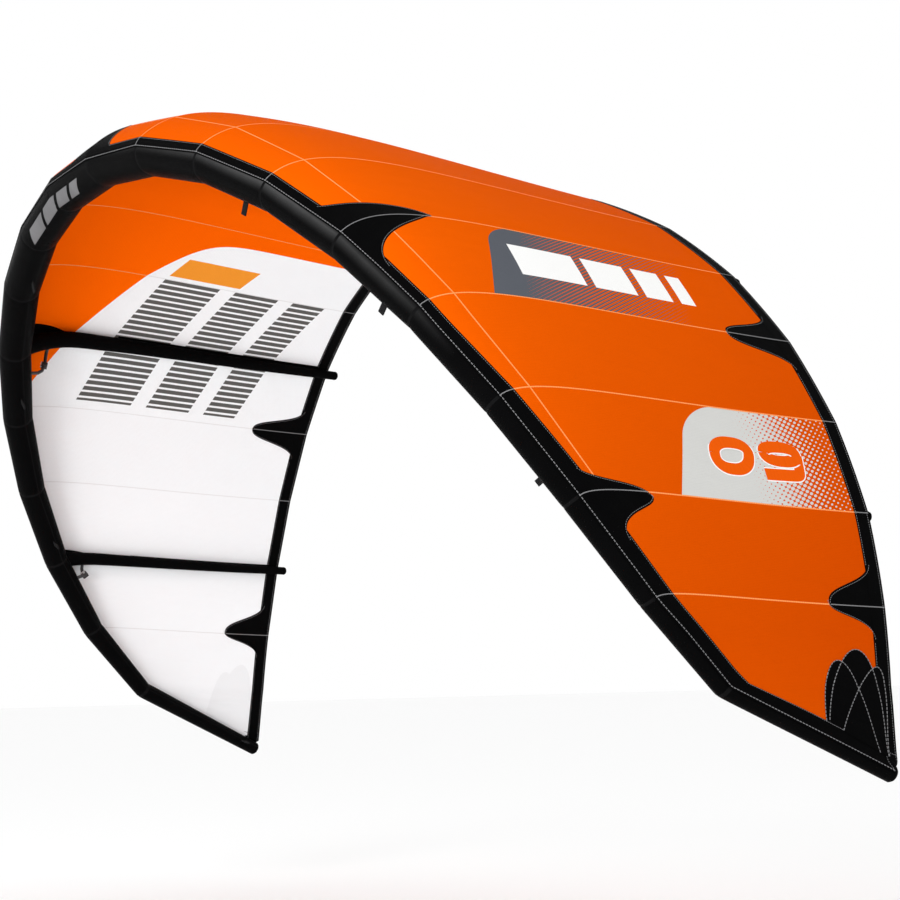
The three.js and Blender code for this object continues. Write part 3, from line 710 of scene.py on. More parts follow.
def tube_bars(rib, degrees):
    """Plain slanted bars printed on the front of the leading edge tube, near the middle of the kite."""
    first_rib, middle, lean, low, high = 0.36, 228, 0.004, 211, 250
    place = rib - first_rib + (degrees - middle) * lean
    bars = bars_at(place, ((0.0, 0.2), (0.27, 0.28), (0.62, 0.36), (1.05, 0.42)))
    return bars * degrees.within(low, high)


def tube_seams(rib, degrees):
    """Sewn seams round the leading edge tube at each bend and along its underside."""
    half_ribs, underside, half_degrees = 0.014, 168, 2.2
    bend = (rib - (rib + 0.5).floor()).size()
    return (bend < half_ribs).most((degrees - underside).size() < half_degrees)


def painted_tube_highlight(rib, degrees):
    """Painted highlight: how strongly the upper front of the leading edge tube is greyed, most of all in the
    middle.
    """
    highlight_centre, reach, full_ribs, fading_ribs = 300, 34, 2.6, 2.9
    facing = 1 - ((degrees - highlight_centre).size() / reach).clamped()
    middle = 1 - ((rib - full_ribs) / fading_ribs).clamped()
    return facing * facing * middle


def black_cloth(name, roughness, thread, grain, gloss, tube=False, print_mask=None):
    """Coated woven cloth: a plain weave, creases and worn patches, with painted shade in the creases and
    between the threads. The tube has seams and a painted highlight too.
    """
    paint = Paint(name, BLACK, roughness, Specular_IOR_Level=gloss)
    along, chord, _ = paint.field("weave")
    weave = weave_relief(along, chord, thread)
    creases = paint.noise((along, chord, chord), grain, detail=5.0)
    worn = paint.noise((along, chord, chord), WORN_PATCHES)
    base = paint.blend(worn, BLACK, tuple(1.7 * part for part in BLACK))
    relief = creases * 0.75 + weave * 0.2
    if tube:
        place = paint.field("wing")[:2]
        # Painted highlight on the upper front of the tube, broken up by the worn patches
        base = paint.blend(painted_tube_highlight(*place) * (0.7 + worn * 0.5), base, PAINTED_HIGHLIGHT_GREY)
        seam = tube_seams(*place)
        base = paint.blend(seam, base, SEAM_BLACK)
        relief = relief + seam * 0.5
        if print_mask:
            base = paint.blend(print_mask(*place), base, TUBE_PRINT)
    # Painted shade: darker in the crease hollows and between the threads, lighter on their ridges
    colour = paint.scaled(base, 0.75 + creases * 0.5 + weave * 0.2)
    return paint.finish(colour, roughness - 0.1 + worn * 0.2, relief, depth=0.004, strength=0.6)


def thread_material():
    paint = Paint("stitch_thread", (0.2, 0.2, 0.2), 0.6, Specular_IOR_Level=0.15)
    along, chord, _ = paint.field("weave")
    twist = ripples(along + chord, 0.0016)
    # Painted shade: darker in the grooves of the twist and lighter on its ridges
    colour = paint.blend(twist, (0.13, 0.13, 0.135), (0.27, 0.27, 0.275))
    return paint.finish(colour, height=twist, depth=0.0004, strength=0.7)


def number_material(name, colour):
    """Printed ink with a little grain."""
    paint = Paint(name, colour, 0.5, Specular_IOR_Level=0.015)
    along, chord, _ = paint.field("weave")
    grain = paint.noise((along, chord, chord), INK_GRAIN)
    mottled = paint.blend(grain, tuple(0.86 * part for part in colour), colour)
    return paint.finish(mottled, grain * 0.14 + 0.42, grain, depth=0.0004, strength=0.4)


def moulded_material(name, colour, roughness, grain):
    """Moulded plastic, rubber or film on a model part: fine grain, faint stains and an uneven gloss."""
    paint = Paint(name, colour, roughness)
    place = paint.position()
    fine = paint.noise(place, (grain, grain, grain), detail=4.0)
    broad = paint.noise(place, (24.0, 24.0, 24.0))
    base = paint.blend(fine, colour, tuple(min(1.0, 1.25 * part + 0.01) for part in colour))
    colour = paint.scaled(base, 0.9 + broad * 0.2)
    return paint.finish(colour, roughness - 0.07 + fine * 0.14, fine, depth=0.0006, strength=0.35)


def webbing_material():
    """Flat woven webbing: a herringbone across its width, with painted shade between its ribs."""
    paint = Paint("tab_webbing", (0.02, 0.02, 0.021), 0.72, Specular_IOR_Level=0.05)
    x, y, z = paint.position()
    ribs = weave_relief(x + y + z, x - y - z, 0.0022)
    dust = paint.noise((x, y, z), (90.0, 90.0, 90.0))
    # Partly painted shade between the herringbone ribs and partly random dusty tone
    colour = paint.blend(ribs * 0.5 + dust * 0.5, (0.006, 0.006, 0.0065), (0.022, 0.022, 0.023))
    return paint.finish(colour, height=ribs, depth=0.0008, strength=0.8)


# ---------- lines on the cloth ----------


def rib_line(rib, start, stop):
    """A line along the chord at one rib, from seam distance start to stop."""
    def line(shares):
        return np.column_stack((np.full_like(shares, rib, dtype=float), mix(start, stop, shares)))
    return line


def span_line(start, stop, seam_at):
    """A line along the wing between two ribs, at the seam distance that seam_at gives for each rib."""
    def line(shares):
        rib = mix(start, stop, shares)
        return np.column_stack((rib, seam_at(rib)))
    return line


def curve_line(*points):
    """A cubic curve through places (rib, seam distance), given by its ends and handles."""
    return lambda shares: bezier(*points, shares)


def trail_curve(*points):
    """The same, with distances from the trailing edge."""
    def line(shares):
        places = bezier(*points, shares)
        return np.column_stack((places[:, 0], cloth_length(places[:, 0]) - places[:, 1]))
    return line


def part_of(line, start, stop):
    return lambda shares: line(mix(start, stop, shares))


def beside(line, ribs):
    """The line moved so many ribs along the wing."""
    return lambda shares: line(shares) + np.array((ribs, 0))


# The black bands: the width at the middle, then how much wider they get between two ribs
LEAD_BAND, LEAD_BAND_STEPS = 0.040, ((0.026, 4.8, 7.3), (0.039, 8.8, 9.4))
TRAIL_BAND, TRAIL_BAND_STEPS = 0.036, ((0.023, 0, 3),)

# The long seam behind the leading edge: its place at the middle, its drift a rib, and the rib it ends at
CREST_SEAM, CREST_DRIFT, CREST_END = 0.205, -0.0165, 7.3


def band_width(rib, width, steps):
    return sum((more * smoothstep(rib, low, high) for more, low, high in steps), width)


def lead_band_width(rib):
    return band_width(rib, LEAD_BAND, LEAD_BAND_STEPS)


def trail_band_width(rib):
    return band_width(rib, TRAIL_BAND, TRAIL_BAND_STEPS)


def crest_seam(rib):
    """The long seam runs into the leading band where the two meet."""
    return np.maximum(CREST_SEAM + CREST_DRIFT * rib, lead_band_width(rib))


def trail_seam(rib):
    return cloth_length(rib) - trail_band_width(rib)


# Black points on the cloth: the start and two handles of each of their two sides, then the tip where both
# end. Fins start at the leading edge, and spikes at the trailing edge, from which their seams are measured.
FINS = (
    (((3.60, 0.028), (3.80, 0.08), (3.80, 0.27)),
     ((4.56, 0.028), (4.22, 0.035), (4.16, 0.20)), (3.98, 0.33)),
    (((6.76, 0.053), (6.94, 0.08), (6.88, 0.25)),
     ((7.50, 0.054), (7.20, 0.056), (7.18, 0.25)), (7.04, 0.258)),
    (((0.00, 0.036), (0.00, 0.08), (0.00, 0.18)),
     ((0.45, 0.036), (0.28, 0.06), (0.20, 0.17)), (0.00, 0.24)),
)
SPIKES = (
    (((4.64, 0.046), (4.86, 0.05), (4.83, 0.285)),
     ((5.40, 0.046), (5.16, 0.05), (5.18, 0.285)), (5.0, 0.27)),
    (((7.54, 0.046), (7.76, 0.05), (7.79, 0.235)),
     ((8.44, 0.046), (8.12, 0.05), (8.14, 0.235)), (7.97, 0.226)),
)
ROOT_PATCHES = (
    (((3.86, 0.10), (3.84, 0.16), (3.86, 0.26)),
     ((4.20, 0.10), (4.16, 0.16), (4.08, 0.26)), (3.98, 0.327)),
    (((6.90, 0.06), (6.90, 0.11), (6.92, 0.18)),
     ((7.14, 0.06), (7.12, 0.11), (7.08, 0.18)), (7.00, 0.247)),
)
TIP_ARCHES = (
    ((9.42, 0.279), (8.397, 0.27), (8.397, 0.15), (9.80, 0.078)),
    ((9.41, 0.266), (8.202, 0.20), (8.202, 0.03), (9.86, 0.044)),
    ((9.53, 0.217), (8.462, 0.05), (8.462, 0), (9.86, 0.041)),
)

# Where a point covers a rib's seam: how far it reaches from the leading and from the trailing edge
POINT_REACH = {4: (0.325, 0.059), 5: (0.040, 0.265), 7: (0.25, 0.059), 8: (0.066, 0.222)}

# Ribs between which no point crosses the inner edge of the leading and of the trailing band
LEAD_EDGES = ((0.42, 3.62), (4.5, 6.78), (7.44, TIP_CLOTH_RIB))
TRAIL_EDGES = ((0.0, 4.64), (5.42, 7.57), (8.46, TIP_CLOTH_RIB))

PATCH_LIFT = 0.0014
LAYER = 0.0004
STITCH_PITCH, STITCH_DASH, STITCH_WIDTH = 0.012, 0.0082, 0.0024
FINE_PITCH, FINE_DASH, FINE_WIDTH = 0.008, 0.0048, 0.0014
SEAM_WIDTH = 0.0042
BAND_SEAM_WIDTH = 0.003
PATCH_CELLS = (40, 40)
ARCH_CELLS = (30, 20)

# How far seams run in under the bands, and rows of stitches lie inside an edge. Points are set in by ribs.
SEAM_TUCK = 0.006
EDGE_INSET = 0.005
HEM_INSET = 0.008
TUBE_ROW = 0.006
LEAD_MARGIN, TRAIL_MARGIN = 0.004, 0.002
FIN_INSET = 0.016
SPIKE_INSET = 0.018

# How low and how high thread lies on the cloth: on top only, through both faces, or a seam's own fold
ABOVE = (PATCH_LIFT - LAYER, PATCH_LIFT + LAYER)
BOTH = (-PATCH_LIFT - LAYER, PATCH_LIFT + LAYER)
SEAM_FACES = (-LAYER - 0.0003, LAYER + 0.0004)


# ---------- the cloth pieces ----------


def canopy_cloth(side, word, material):
    """One wing's canopy: a single closed sheet of cloth with a billow in each bay."""
    sewing = Sewing()
    rib = np.repeat(CLOTH_RIBS[:, None], len(CLOTH_SHARES), 1)
    seam = rib * 0 + CLOTH_SHARES * CLOTH_LENGTHS[:, None]
    sewing.slab(rib, seam, -LAYER, LAYER)
    return sewing.build(f"canopy_{word}_cloth", side, material)


def band_grid(sewing, near, far, low, high):
    """A band along the wing between the seam distances that near and far give."""
    share = np.linspace(0, 1, 8)[None, :]
    rib = CLOTH_RIBS[:, None] + share * 0
    sewing.slab(rib, mix(near(rib), far(rib), share), low, high)


def sew_points(sewing, points, curve, low, high):
    """Black points of cloth, each between two curved sides."""
    for upper, lower, tip in points:
        sewing.patch(curve(*upper, tip), curve(*lower, tip), low, high, *PATCH_CELLS)


def leading_band(side, word, material):
    """The black band on the front of the cloth, with its fins."""
    sewing = Sewing()
    band_grid(sewing, lambda rib: rib * 0.0, lead_band_width, 0, PATCH_LIFT)
    sew_points(sewing, FINS, curve_line, 0, PATCH_LIFT - LAYER)
    return sewing.build(f"leading_band_{word}", side, material)


def trailing_band(side, word, material):
    """The black band folded round the trailing edge, with its spikes."""
    sewing = Sewing()
    band_grid(sewing, trail_seam, cloth_length, -PATCH_LIFT, PATCH_LIFT)
    sew_points(sewing, SPIKES, trail_curve, -PATCH_LIFT + LAYER, PATCH_LIFT - LAYER)
    return sewing.build(f"trailing_band_{word}_cloth", side, material)


def tip_patch(side, word, material):
    """Three overlapping arches of black cloth on the outside of the wingtip's corner."""
    sewing = Sewing()
    for layer, arch in enumerate(TIP_ARCHES):
        line = trail_curve(*arch)
        lift = PATCH_LIFT + LAYER * layer
        sewing.patch(part_of(line, 0, 0.5), part_of(line, 1, 0.5), 0, lift, *ARCH_CELLS)
    return sewing.build(f"tip_patch_{word}", side, material)


def root_patches(side, word, material):
    """Black cloth under the canopy where each strut meets the leading edge tube."""
    sewing = Sewing()
    sew_points(sewing, ROOT_PATCHES, curve_line, -PATCH_LIFT, 0)
    return sewing.build(f"root_patches_{word}", side, material)


def seam_ends(rib):
    """How far black cloth reaches over a rib's seam from the leading and from the trailing edge."""
    return POINT_REACH.get(rib, (lead_band_width(rib), trail_band_width(rib)))


def cloth_seams(side, word, material):
    """The seams across the canopy at each rib and the long seam behind the leading edge."""
    sewing = Sewing()
    for rib in range(1, LAST_BEND):
        front, rear = seam_ends(rib)
        line = rib_line(rib, front - SEAM_TUCK, cloth_length(rib) - rear + SEAM_TUCK)
        sewing.ribbon(line, SEAM_WIDTH, *SEAM_FACES, steps=150)
    sewing.ribbon(span_line(0, CREST_END, crest_seam), SEAM_WIDTH, *SEAM_FACES, steps=600)
    return sewing.build(f"canopy_seams_{word}", side, material)


def edge_rows():
    """Fine rows of stitches along the inner edges of the bands, where no black point crosses them."""
    lead = [span_line(*ribs, lambda rib: lead_band_width(rib) - EDGE_INSET) for ribs in LEAD_EDGES]
    trail = [span_line(*ribs, lambda rib: trail_seam(rib) + EDGE_INSET) for ribs in TRAIL_EDGES]
    return [(line, ABOVE) for line in lead] + [(line, BOTH) for line in trail]


def point_rows():
    """Fine rows of stitches just inside the outlines of the black points. The middle fin has half a wing."""
    rows = []
    fins, spikes = (FINS, curve_line, FIN_INSET, ABOVE), (SPIKES, trail_curve, SPIKE_INSET, BOTH)
    for points, curve, inset, faces in (fins, spikes):
        for upper, lower, tip in points:
            if upper[0][0] > 0:
                rows.append((beside(curve(*upper, tip), inset), faces))
            rows.append((beside(curve(*lower, tip), -inset), faces))
    return rows


def stitching(side, word, material):
    """Rows of stitches along the bands, round the black points and over the tip patch."""
    sewing = Sewing()
    hem = span_line(0, TIP_CLOTH_RIB, lambda rib: cloth_length(rib) - HEM_INSET)
    for line, faces in edge_rows() + point_rows() + [(hem, BOTH)]:
        sewing.stitches(line, FINE_WIDTH, *faces, FINE_PITCH, FINE_DASH, steps=400)
    tube_row = span_line(0, TIP_CLOTH_RIB, lambda rib: np.full_like(rib, TUBE_ROW))
    sewing.stitches(tube_row, STITCH_WIDTH, *ABOVE, STITCH_PITCH, STITCH_DASH, steps=400)
    for rib in range(1, LAST_BEND):
        front, rear = seam_ends(rib)
        length = cloth_length(rib)
        lead, trail = rib_line(rib, LEAD_MARGIN, front), rib_line(rib, length - rear, length - TRAIL_MARGIN)
        sewing.ribbon(lead, BAND_SEAM_WIDTH, *ABOVE, steps=40)
        sewing.ribbon(trail, BAND_SEAM_WIDTH, *BOTH, steps=30)
    for layer, arch in enumerate(TIP_ARCHES):
        faces = (PATCH_LIFT, PATCH_LIFT + LAYER * (len(TIP_ARCHES) + layer))
        sewing.stitches(trail_curve(*arch), STITCH_WIDTH, *faces, STITCH_PITCH, STITCH_DASH, steps=200)
    return sewing.build(f"stitching_{word}", side, material)


def rounded_loop(corners):
    """A closed path round four corners, each rounded with a curve. Its radius is a share of each side."""
    radius, handle, steps = 0.45, 0.6, 16
    path = []
    for corner, before, after in zip(corners, np.roll(corners, 1, 0), np.roll(corners, -1, 0)):
        start, stop = mix(corner, before, radius), mix(corner, after, radius)
        handles = mix(start, corner, handle), mix(stop, corner, handle)
        path.append(bezier(start, *handles, stop, np.linspace(0, 1, steps)))
    return np.vstack((*path, path[0][:1]))


def path_line(path):
    """A line on the cloth through a list of places."""
    travel = path_travel(path * (BAY_RUN, 1))
    return lambda shares: sampled(path, travel / travel[-1], shares)


# The middle lines of the digits, as places on the cloth: top left, top right, bottom right, bottom left
ZERO = np.array(((6.375, 0.680), (6.375, 0.829), (6.66, 0.744), (6.66, 0.620)))
NINE = np.array(((6.37, 0.880), (6.36, 1.020), (6.515, 0.984), (6.52, 0.855)))
NINE_TAIL = np.array(((6.43, 1.008), (6.66, 0.955), (6.675, 0.808)))

# The number's outline and its face: the width of the stroke and how high it lies
OUTLINE = (0.049, LAYER + 0.0004)
FACE = (0.041, LAYER + 0.0008)


def number_print(name, stroke, height, material):
    """The size number on the right wing."""
    sewing = Sewing()
    top, corner, end = NINE_TAIL
    start, stop = mix(corner, top, 0.4), mix(corner, end, 0.35)
    bend = bezier(start, corner, corner, stop, np.linspace(0, 1, 12))
    for path in (rounded_loop(ZERO), rounded_loop(NINE), np.vstack((top, bend, end))):
        sewing.ribbon(path_line(path), stroke, 0, height, steps=90)
    return sewing.build(name, RIGHT, material)


# ---------- tubes ----------

TUBE_SIDES = 48
BAY_RINGS = 12

# The dip at each bend and the waves beside it: depth, and reach in ribs
PUCKER = 0.0016
DIP_REACH = 0.012
WAVE_REACH = 0.14
WAVES_ROUND = 9
WAVE_TURN = 2.1

# The tube's rounded end: its last rings, its length in metres and its smallest radius as a share
END_RIBS = (9.985, 9.996, TIP_RIB)
END_LENGTH = 0.01
END_SHARE = 0.45

STRUT_SIDES = 36
STRUT_TAPER_POWER = 0.8
STRUT_HANG_SHARES = (0.36, 0.52, 0.7, 0.86, 1)
STRUT_ROOT_RISE = 0.018
AXIS_STEPS = 200
STRUT_CLOTH_GAP = 0.007
BLADDER_INSET = 0.0034
STRUT_OVERLAP = 0.014
ROOT_LENGTH = 0.16
FLARE, FLARE_REACH = 0.3, 0.035
ROOT_WAVES, ROOT_WAVE, ROOT_WAVE_REACH = 7, 0.012, 0.05

# The sewn cap on a strut's tail: distances from its end and shares of the strut's radius
CAP_BACK = np.array((0.012, 0.009, 0.0075, 0.003, 0.0))
CAP_SHARES = np.array((1.0, 1.04, 0.985, 0.93, 0.74))

# The strip that sews a strut to the canopy: where it runs, as shares of the chord, and its section
WEB_SHARES = np.linspace(0.36, 0.985, 60)
WEB_OVERLAP = 0.003
FLANGE_HALF, WEB_HALF, FLANGE_THICK = 0.021, 0.004, 0.0014

# Name, rib, side, radius at the root and at the tail, length past the trailing edge, and body
STRUTS = (
    ("centre", 0, RIGHT, 0.042, 0.019, 0.034, "kite"),
    ("right_inner", 4, RIGHT, 0.038, 0.018, 0.034, "kite"),
    ("left_inner", 4, LEFT, 0.038, 0.018, 0.034, "kite"),
    ("right_outer", 7, RIGHT, 0.029, 0.017, 0.026, "wingtip_right"),
    ("left_outer", 7, LEFT, 0.029, 0.017, 0.026, "wingtip_left"),
)


def tube_faces(rings, sides):
    """Faces of a tube with a point at each end, after rings of points."""
    walls = grid_faces(rings, sides, closed=True)[:, ::-1].tolist()
    first, last = rings * sides, rings * sides + 1
    ends = [[first, side, (side + 1) % sides] for side in range(sides)]
    back = (rings - 1) * sides
    ends += [[last, back + (side + 1) % sides, back + side] for side in range(sides)]
    return walls + ends


def bend_ring(rib, degrees):
    """Points round the leading edge tube at a rib."""
    section = Section(rib)
    return section.lead + section.radius * section.around(degrees)


def tube_stations():
    """Ribs along the leading edge tube, closer together near each bend and at its rounded end."""
    bay = (1 - np.cos(np.pi * np.arange(BAY_RINGS) / BAY_RINGS)) / 2
    return np.concatenate([rib + bay for rib in range(TIP_RIB)] + [END_RIBS])


def casing_share(rib, degrees):
    """Each point's radius as a share of the tube's: less at a bend, in waves beside it and at the tip."""
    bend = round(rib)
    off = abs(rib - bend)
    dip = PUCKER * math.exp(-off / DIP_REACH) if 0 < bend < TIP_RIB else 0.0
    wave = np.sin(np.radians(degrees * WAVES_ROUND) + WAVE_TURN * bend)
    inner = 0.5 - 0.5 * np.cos(np.radians(degrees))
    wave = PUCKER * 0.5 * math.exp(-off / WAVE_REACH) * wave * inner * (0 < rib < TIP_RIB)
    left = min((TIP_RIB - rib) * TIP_RUN / END_LENGTH, 1)
    end = mix(END_SHARE, 1, math.sqrt(1 - (1 - left) ** 2))
    return end * (1 - (dip + wave) / tube_radius(rib))


def leading_casing(side, word, material):
    """One half of the leading edge tube: straight sewn runs, dipped and puckered at each bend."""
    degrees = np.arange(TUBE_SIDES) * 360 / TUBE_SIDES
    bends = [bend_ring(rib, degrees) for rib in range(TIP_RIB + 1)]
    stations = tube_stations()
    centres = np.array([between(CORNERS, rib) for rib in stations])
    rings = [
        centre + (between(bends, rib) - centre) * casing_share(rib, degrees)[:, None]
        for rib, centre in zip(stations, centres)
    ]
    rib = np.concatenate((np.repeat(stations, TUBE_SIDES), (0, TIP_RIB)))
    around = np.concatenate((np.tile(degrees, len(stations)), (0, 0)))
    points = np.vstack((*rings, centres[:1], centres[-1:]))
    wing = np.column_stack((rib, around, rib * 0))
    weave = np.column_stack((rib * BAY_RUN, np.radians(around) * tube_radius(rib), rib * 0))
    faces = tube_faces(len(rings), TUBE_SIDES)
    return mesh_object(f"leading_casing_{word}", points, faces, side, material, wing=wing, weave=weave)


def smooth_path(points, steps):
    """A centripetal curve through points, evenly resampled."""
    points = np.vstack((2 * points[0] - points[1], points, 2 * points[-1] - points[-2]))
    gaps = np.linalg.norm(np.diff(points, axis=0), axis=1) ** 0.5
    dense = []
    for index in range(1, len(points) - 2):
        before, here, after = gaps[index - 1:index + 2]
        a, b, c, d = points[index - 1:index + 3]
        leave = here * ((b - a) / before - (c - a) / (before + here) + (c - b) / here)
        reach = here * ((c - b) / here - (d - b) / (here + after) + (d - c) / after)
        dense.append(bezier(b, b + leave / 3, c - reach / 3, c, np.linspace(0, 1, 60))[:-1])
    dense = np.vstack(dense + [points[-2:-1]])
    travel = path_travel(dense)
    return sampled(dense, travel, np.linspace(0, travel[-1], steps)), travel[-1]


def strut_radius(root, tail, share):
    return mix(root, tail, np.minimum(share, 1) ** STRUT_TAPER_POWER)


def strut_axis(rib, root, tail, stub):
    """A strut's middle line, which hangs under the canopy and follows its curve, and its length."""
    section = Section(rib)
    points, slopes = section.profile(np.linspace(0, 1, PROFILE_SAMPLES))
    normals = unit(np.cross(section.span, slopes))
    hang = []
    for share in STRUT_HANG_SHARES:
        index = round(share * (PROFILE_SAMPLES - 1))
        hang.append(points[index] - normals[index] * (strut_radius(root, tail, share) + STRUT_CLOTH_GAP))
    end = hang[-1] + unit(hang[-1] - hang[-2]) * stub
    start = section.lead + STRUT_ROOT_RISE * section.up
    return smooth_path(np.array([start, *hang, end]), AXIS_STEPS)


def strut_skin(name, rib, side, root, tail, stub, material, inset=0.0):
    """A strut's cloth tube: flared where it meets the leading edge, with a sewn cap on its tail.

    With an inset it is the bladder inside, that much smaller.
    """
    axis, length = strut_axis(rib, root, tail, stub - inset)
    section = Section(rib)
    begin = section.radius - STRUT_OVERLAP + inset
    flared = begin + ROOT_LENGTH
    cap = length - CAP_BACK
    places = np.concatenate((np.linspace(begin, flared, 12)[:-1], np.linspace(flared, cap[0], 40)[:-1], cap))
    centres = sampled(axis, np.linspace(0, length, len(axis)), places)
    tangents = unit(np.gradient(centres, axis=0))
    across = unit(section.span - tangents * (tangents @ section.span)[:, None])
    up = np.cross(across, tangents)
    shares = 1 + FLARE * np.exp(-(places - begin) / FLARE_REACH)
    shares[-len(cap):] *= CAP_SHARES
    radii = strut_radius(root, tail, places / length) * shares - inset
    angles = np.arange(STRUT_SIDES) * 2 * math.pi / STRUT_SIDES
    circle = np.cos(angles)[None, :, None] * up[:, None] + np.sin(angles)[None, :, None] * across[:, None]
    waves = ROOT_WAVE * np.exp(-(places - begin) / ROOT_WAVE_REACH)
    ripple = 1 + np.multiply.outer(waves, np.sin(angles * ROOT_WAVES))
    points = centres[:, None] + circle * (radii[:, None] * ripple)[..., None]
    weave = np.column_stack((
        np.repeat(places, STRUT_SIDES), np.multiply.outer(radii, angles).ravel(), np.zeros(ripple.size),
    ))
    points = np.vstack((points.reshape(-1, 3), centres[:1], centres[-1:] + tangents[-1:] * 0.001))
    weave = np.vstack((weave, (begin, 0, 0), (length, 0, 0)))
    faces = tube_faces(len(places), STRUT_SIDES)
    return mesh_object(name, points, faces, side, material, weave=weave)


def web_edge(rib, seams, offset, rise):
    """A line of the flange, offset metres beside a rib. Beside the middle rib both wings' cloth is alike."""
    points, _ = on_cloth(np.full_like(seams, abs(rib + offset / BAY_RUN)), seams, rise)
    return points * ((-1 if rib + offset < 0 else 1), 1, 1)


def strut_web(name, rib, side, root, tail, stub, material):
    """The strip that sews a strut to the canopy: a flange under the cloth and a web down to the tube."""
    axis, _ = strut_axis(rib, root, tail, stub)
    span = Section(rib).span
    seams = WEB_SHARES * cloth_length(rib)
    top, normals = on_cloth(np.full_like(seams, rib), seams)
    nearest = np.array([np.argmin(np.linalg.norm(axis - point, axis=1)) for point in top])
    radii = strut_radius(root, tail, nearest / (len(axis) - 1))
    drop = np.linalg.norm(axis[nearest] - top, axis=1) - radii + WEB_OVERLAP
    foot = top - normals * drop[:, None]
    outer, inner = -FLANGE_THICK, -2 * FLANGE_THICK
    before = ((-FLANGE_HALF, 0), (0, 0), (FLANGE_HALF, 0), (FLANGE_HALF, outer), (WEB_HALF, inner))
    after = ((-WEB_HALF, inner), (-FLANGE_HALF, outer))
    ring = [web_edge(rib, seams, *place) for place in before + after]
    ring[len(before):len(before)] = [foot + span * WEB_HALF, foot - span * WEB_HALF]
    ring = np.stack(ring, axis=1)
    offsets = [place[0] for place in (*before, (WEB_HALF, 0), (-WEB_HALF, 0), *after)]
    count, sides = ring.shape[:2]
    weave = np.column_stack((np.repeat(seams, sides), np.tile(offsets, count), np.zeros(count * sides)))
    last = sides * (count - 1)
    walls = grid_faces(count, sides, closed=True)[:, ::-1].tolist()
    faces = walls + [list(range(sides)), [last + i for i in range(sides - 1, -1, -1)]]
    return mesh_object(f"strut_web_{name}", ring.reshape(-1, 3), faces, side, material, weave=weave)


# ---------- putting it together ----------

FLEX_HALF = 0.24


def bend_with(piece, side):
    """Bakes the piece's placement into its mesh. The ends of a hinge at the flex line are worked out, but
    nothing uses them.
    """
    section = Section(FLEX_RIB)
    pivot = section.lead + FLEX_RISE * section.up
    start, end = (pivot + share * FLEX_HALF * section.span for share in (-1, 1))
    start, end = (tuple(float(v) for v in point * (side, 1, 1)) for point in (start, end))
    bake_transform(piece)


def trims(side, word, materials):
    """The pieces sewn to or printed on one wing's canopy, under the slots they belong to."""
    blacks = (leading_band, tip_patch, root_patches)
    pieces = {
        "leading_edge_cloth": [make(side, word, materials["band"]) for make in blacks],
        "canopy_orange": [cloth_seams(side, word, seam_material(side, word))],
        "webbing": [stitching(side, word, materials["thread"])],
    }
    if side == RIGHT:
        pieces["canopy_orange"] += [
            number_print("number_outline", *OUTLINE, number_material("number_outline", PRINT_WHITE)),
            number_print("number_face", *FACE, number_material("number_ink", INK)),
        ]
    return pieces


def wing(side, word, materials):
    """Every soft piece of one wing, built in place of the model's own pieces."""
    runs = range(1, 6)
    canopy = canopy_cloth(side, word, canopy_material(side, word))
    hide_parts(*[f"canopy_{word}_{number}" for number in runs])
    tube = leading_casing(side, word, materials["printed_casing" if side == LEFT else "casing"])
    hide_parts(*[f"leading_tube_{word}_{number}" for number in runs])
    if side == RIGHT:
        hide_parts("leading_tube_valve_run")
    rear = trailing_band(side, word, materials["band"])
    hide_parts(f"trailing_band_{word}_main", f"trailing_band_{word}_tip")
    sewn = [rear]
    for slot, pieces in trims(side, word, materials).items():
        for piece in pieces:
            sewn.append(piece)
    for piece in (canopy, tube, *sewn):
        bend_with(piece, side)


def struts(material, web_material, film_material):
    """The skin, bladder and sewn web of every strut."""
    for name, rib, side, root, tail, stub, body in STRUTS:
        skin = strut_skin(f"strut_skin_{name}", rib, side, root, tail, stub, material)
        film = strut_skin(f"strut_film_{name}", rib, side, root, tail, stub, film_material, BLADDER_INSET)
        web = strut_web(name, rib, side, root, tail, stub, web_material)
        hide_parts(f"strut_tube_{name}")
        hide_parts(f"strut_bladder_{name}")
        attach(film, body)
        for piece in (skin, web):
            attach(piece, body)


def paint_model_parts():
    """Procedural materials for the model parts that are shown as they are."""
    looks = {
        "_valve": moulded_material("valve_plastic", (0.018, 0.018, 0.019), 0.34, 900.0),
        "_cap": moulded_material("cap_plastic", (0.33, 0.33, 0.33), 0.42, 700.0),
        "air_hose_": moulded_material("hose_rubber", (0.02, 0.02, 0.021), 0.6, 500.0),
        "hose_clip_": moulded_material("clip_plastic", (0.4, 0.4, 0.4), 0.36, 800.0),
        "_bladder_": moulded_material("bladder_film", FILM, 0.3, 300.0),
        "_tab_": webbing_material(),
    }
    for name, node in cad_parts.items():
        for words, material in looks.items():
            if words in name or name.endswith(words):
                node.data.materials.clear()
                node.data.materials.append(material)


# ---------- camera, floor and lights ----------


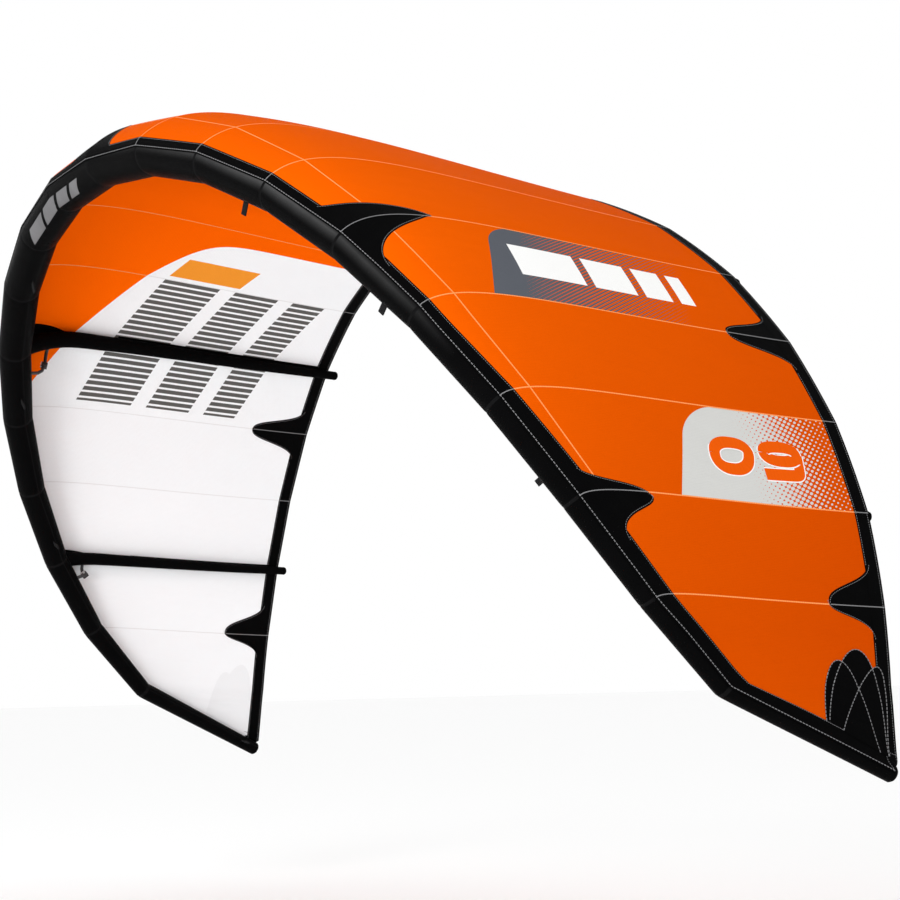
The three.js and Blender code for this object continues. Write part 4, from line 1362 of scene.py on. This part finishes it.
def place_camera():
    """The photo's viewpoint, solved from the mirror symmetry of the two wings."""
    azimuth, elevation, roll = (math.radians(value) for value in (57.181, -5.337, -1.033))
    level = math.cos(elevation)
    back = Vector((math.sin(azimuth) * level, -math.cos(azimuth) * level, math.sin(elevation)))
    right = Vector((math.cos(azimuth), math.sin(azimuth), 0))
    up = back.cross(right)
    across = math.cos(roll) * right + math.sin(roll) * up
    upward = -math.sin(roll) * right + math.cos(roll) * up
    camera = scene_object("camera", bpy.data.cameras.new("camera"))
    camera.data.sensor_width = 36
    camera.data.lens = 93.563
    camera.data.clip_end = 400
    turn = Matrix((across, upward, back)).transposed().to_4x4()
    camera.matrix_world = Matrix.Translation((7.4475, -3.3852, -1.7856)) @ turn
    bpy.context.scene.camera = camera


def studio_floor():
    """A large pale floor below the kite."""
    height, reach = -2.75, 60
    mesh = bpy.data.meshes.new("floor")
    corners = [(x * reach, y * reach, height) for x, y in ((-1, -1), (1, -1), (1, 1), (-1, 1))]
    mesh.from_pydata(corners, [], [(0, 1, 2, 3)])
    paint = Paint("floor_paint", (0.96, 0.96, 0.96), 0.9, Specular_IOR_Level=0.1)
    mesh.materials.append(paint.material)
    scene_object("floor", mesh)


def soft_light(name, place, aim, size, power):
    light = bpy.data.lights.new(name, "AREA")
    light.shape, light.size, light.energy = "DISK", size, power
    obj = scene_object(name, light)
    obj.location = place
    obj.rotation_euler = (Vector(aim) - Vector(place)).to_track_quat("-Z", "Y").to_euler()


def studio_light():
    world = bpy.data.worlds.new("studio")
    world.use_nodes = True
    sky = world.node_tree.nodes["Background"].inputs
    sky["Color"].default_value = (1, 1, 1, 1)
    sky["Strength"].default_value = 1.0
    bpy.context.scene.world = world
    bpy.context.scene.view_settings.view_transform = "Standard"
    soft_light("key", (4.5, -6.5, 3.6), (0.5, 0.5, -0.5), 3.0, 165)
    soft_light("fill", (5.0, -8.0, -1.0), (-1.0, 0.8, -0.8), 3.0, 350)


# Roughness, thread pitch, creases to the metre and gloss, and that it is the tube
CASING_LOOK = (0.3, 0.0015, (14.0, 5.0, 0.0), 0.006, True)


def build():
    materials = {
        "band": black_cloth("band_cloth", 0.5, 0.0013, (16.0, 16.0, 0.0), 0.005),
        "casing": black_cloth("casing_cloth", *CASING_LOOK),
        "printed_casing": black_cloth("casing_cloth_printed", *CASING_LOOK, tube_bars),
        "thread": thread_material(),
    }
    strut_cloth = black_cloth("strut_cloth", 0.44, 0.0015, (10.0, 22.0, 0.0), 0.005)
    strut_film = moulded_material("strut_bladder_film", FILM, 0.3, 300.0)
    place_camera()
    studio_floor()
    studio_light()
    for side, word in SIDES:
        wing(side, word, materials)
    struts(strut_cloth, materials["band"], strut_film)
    paint_model_parts()


build()
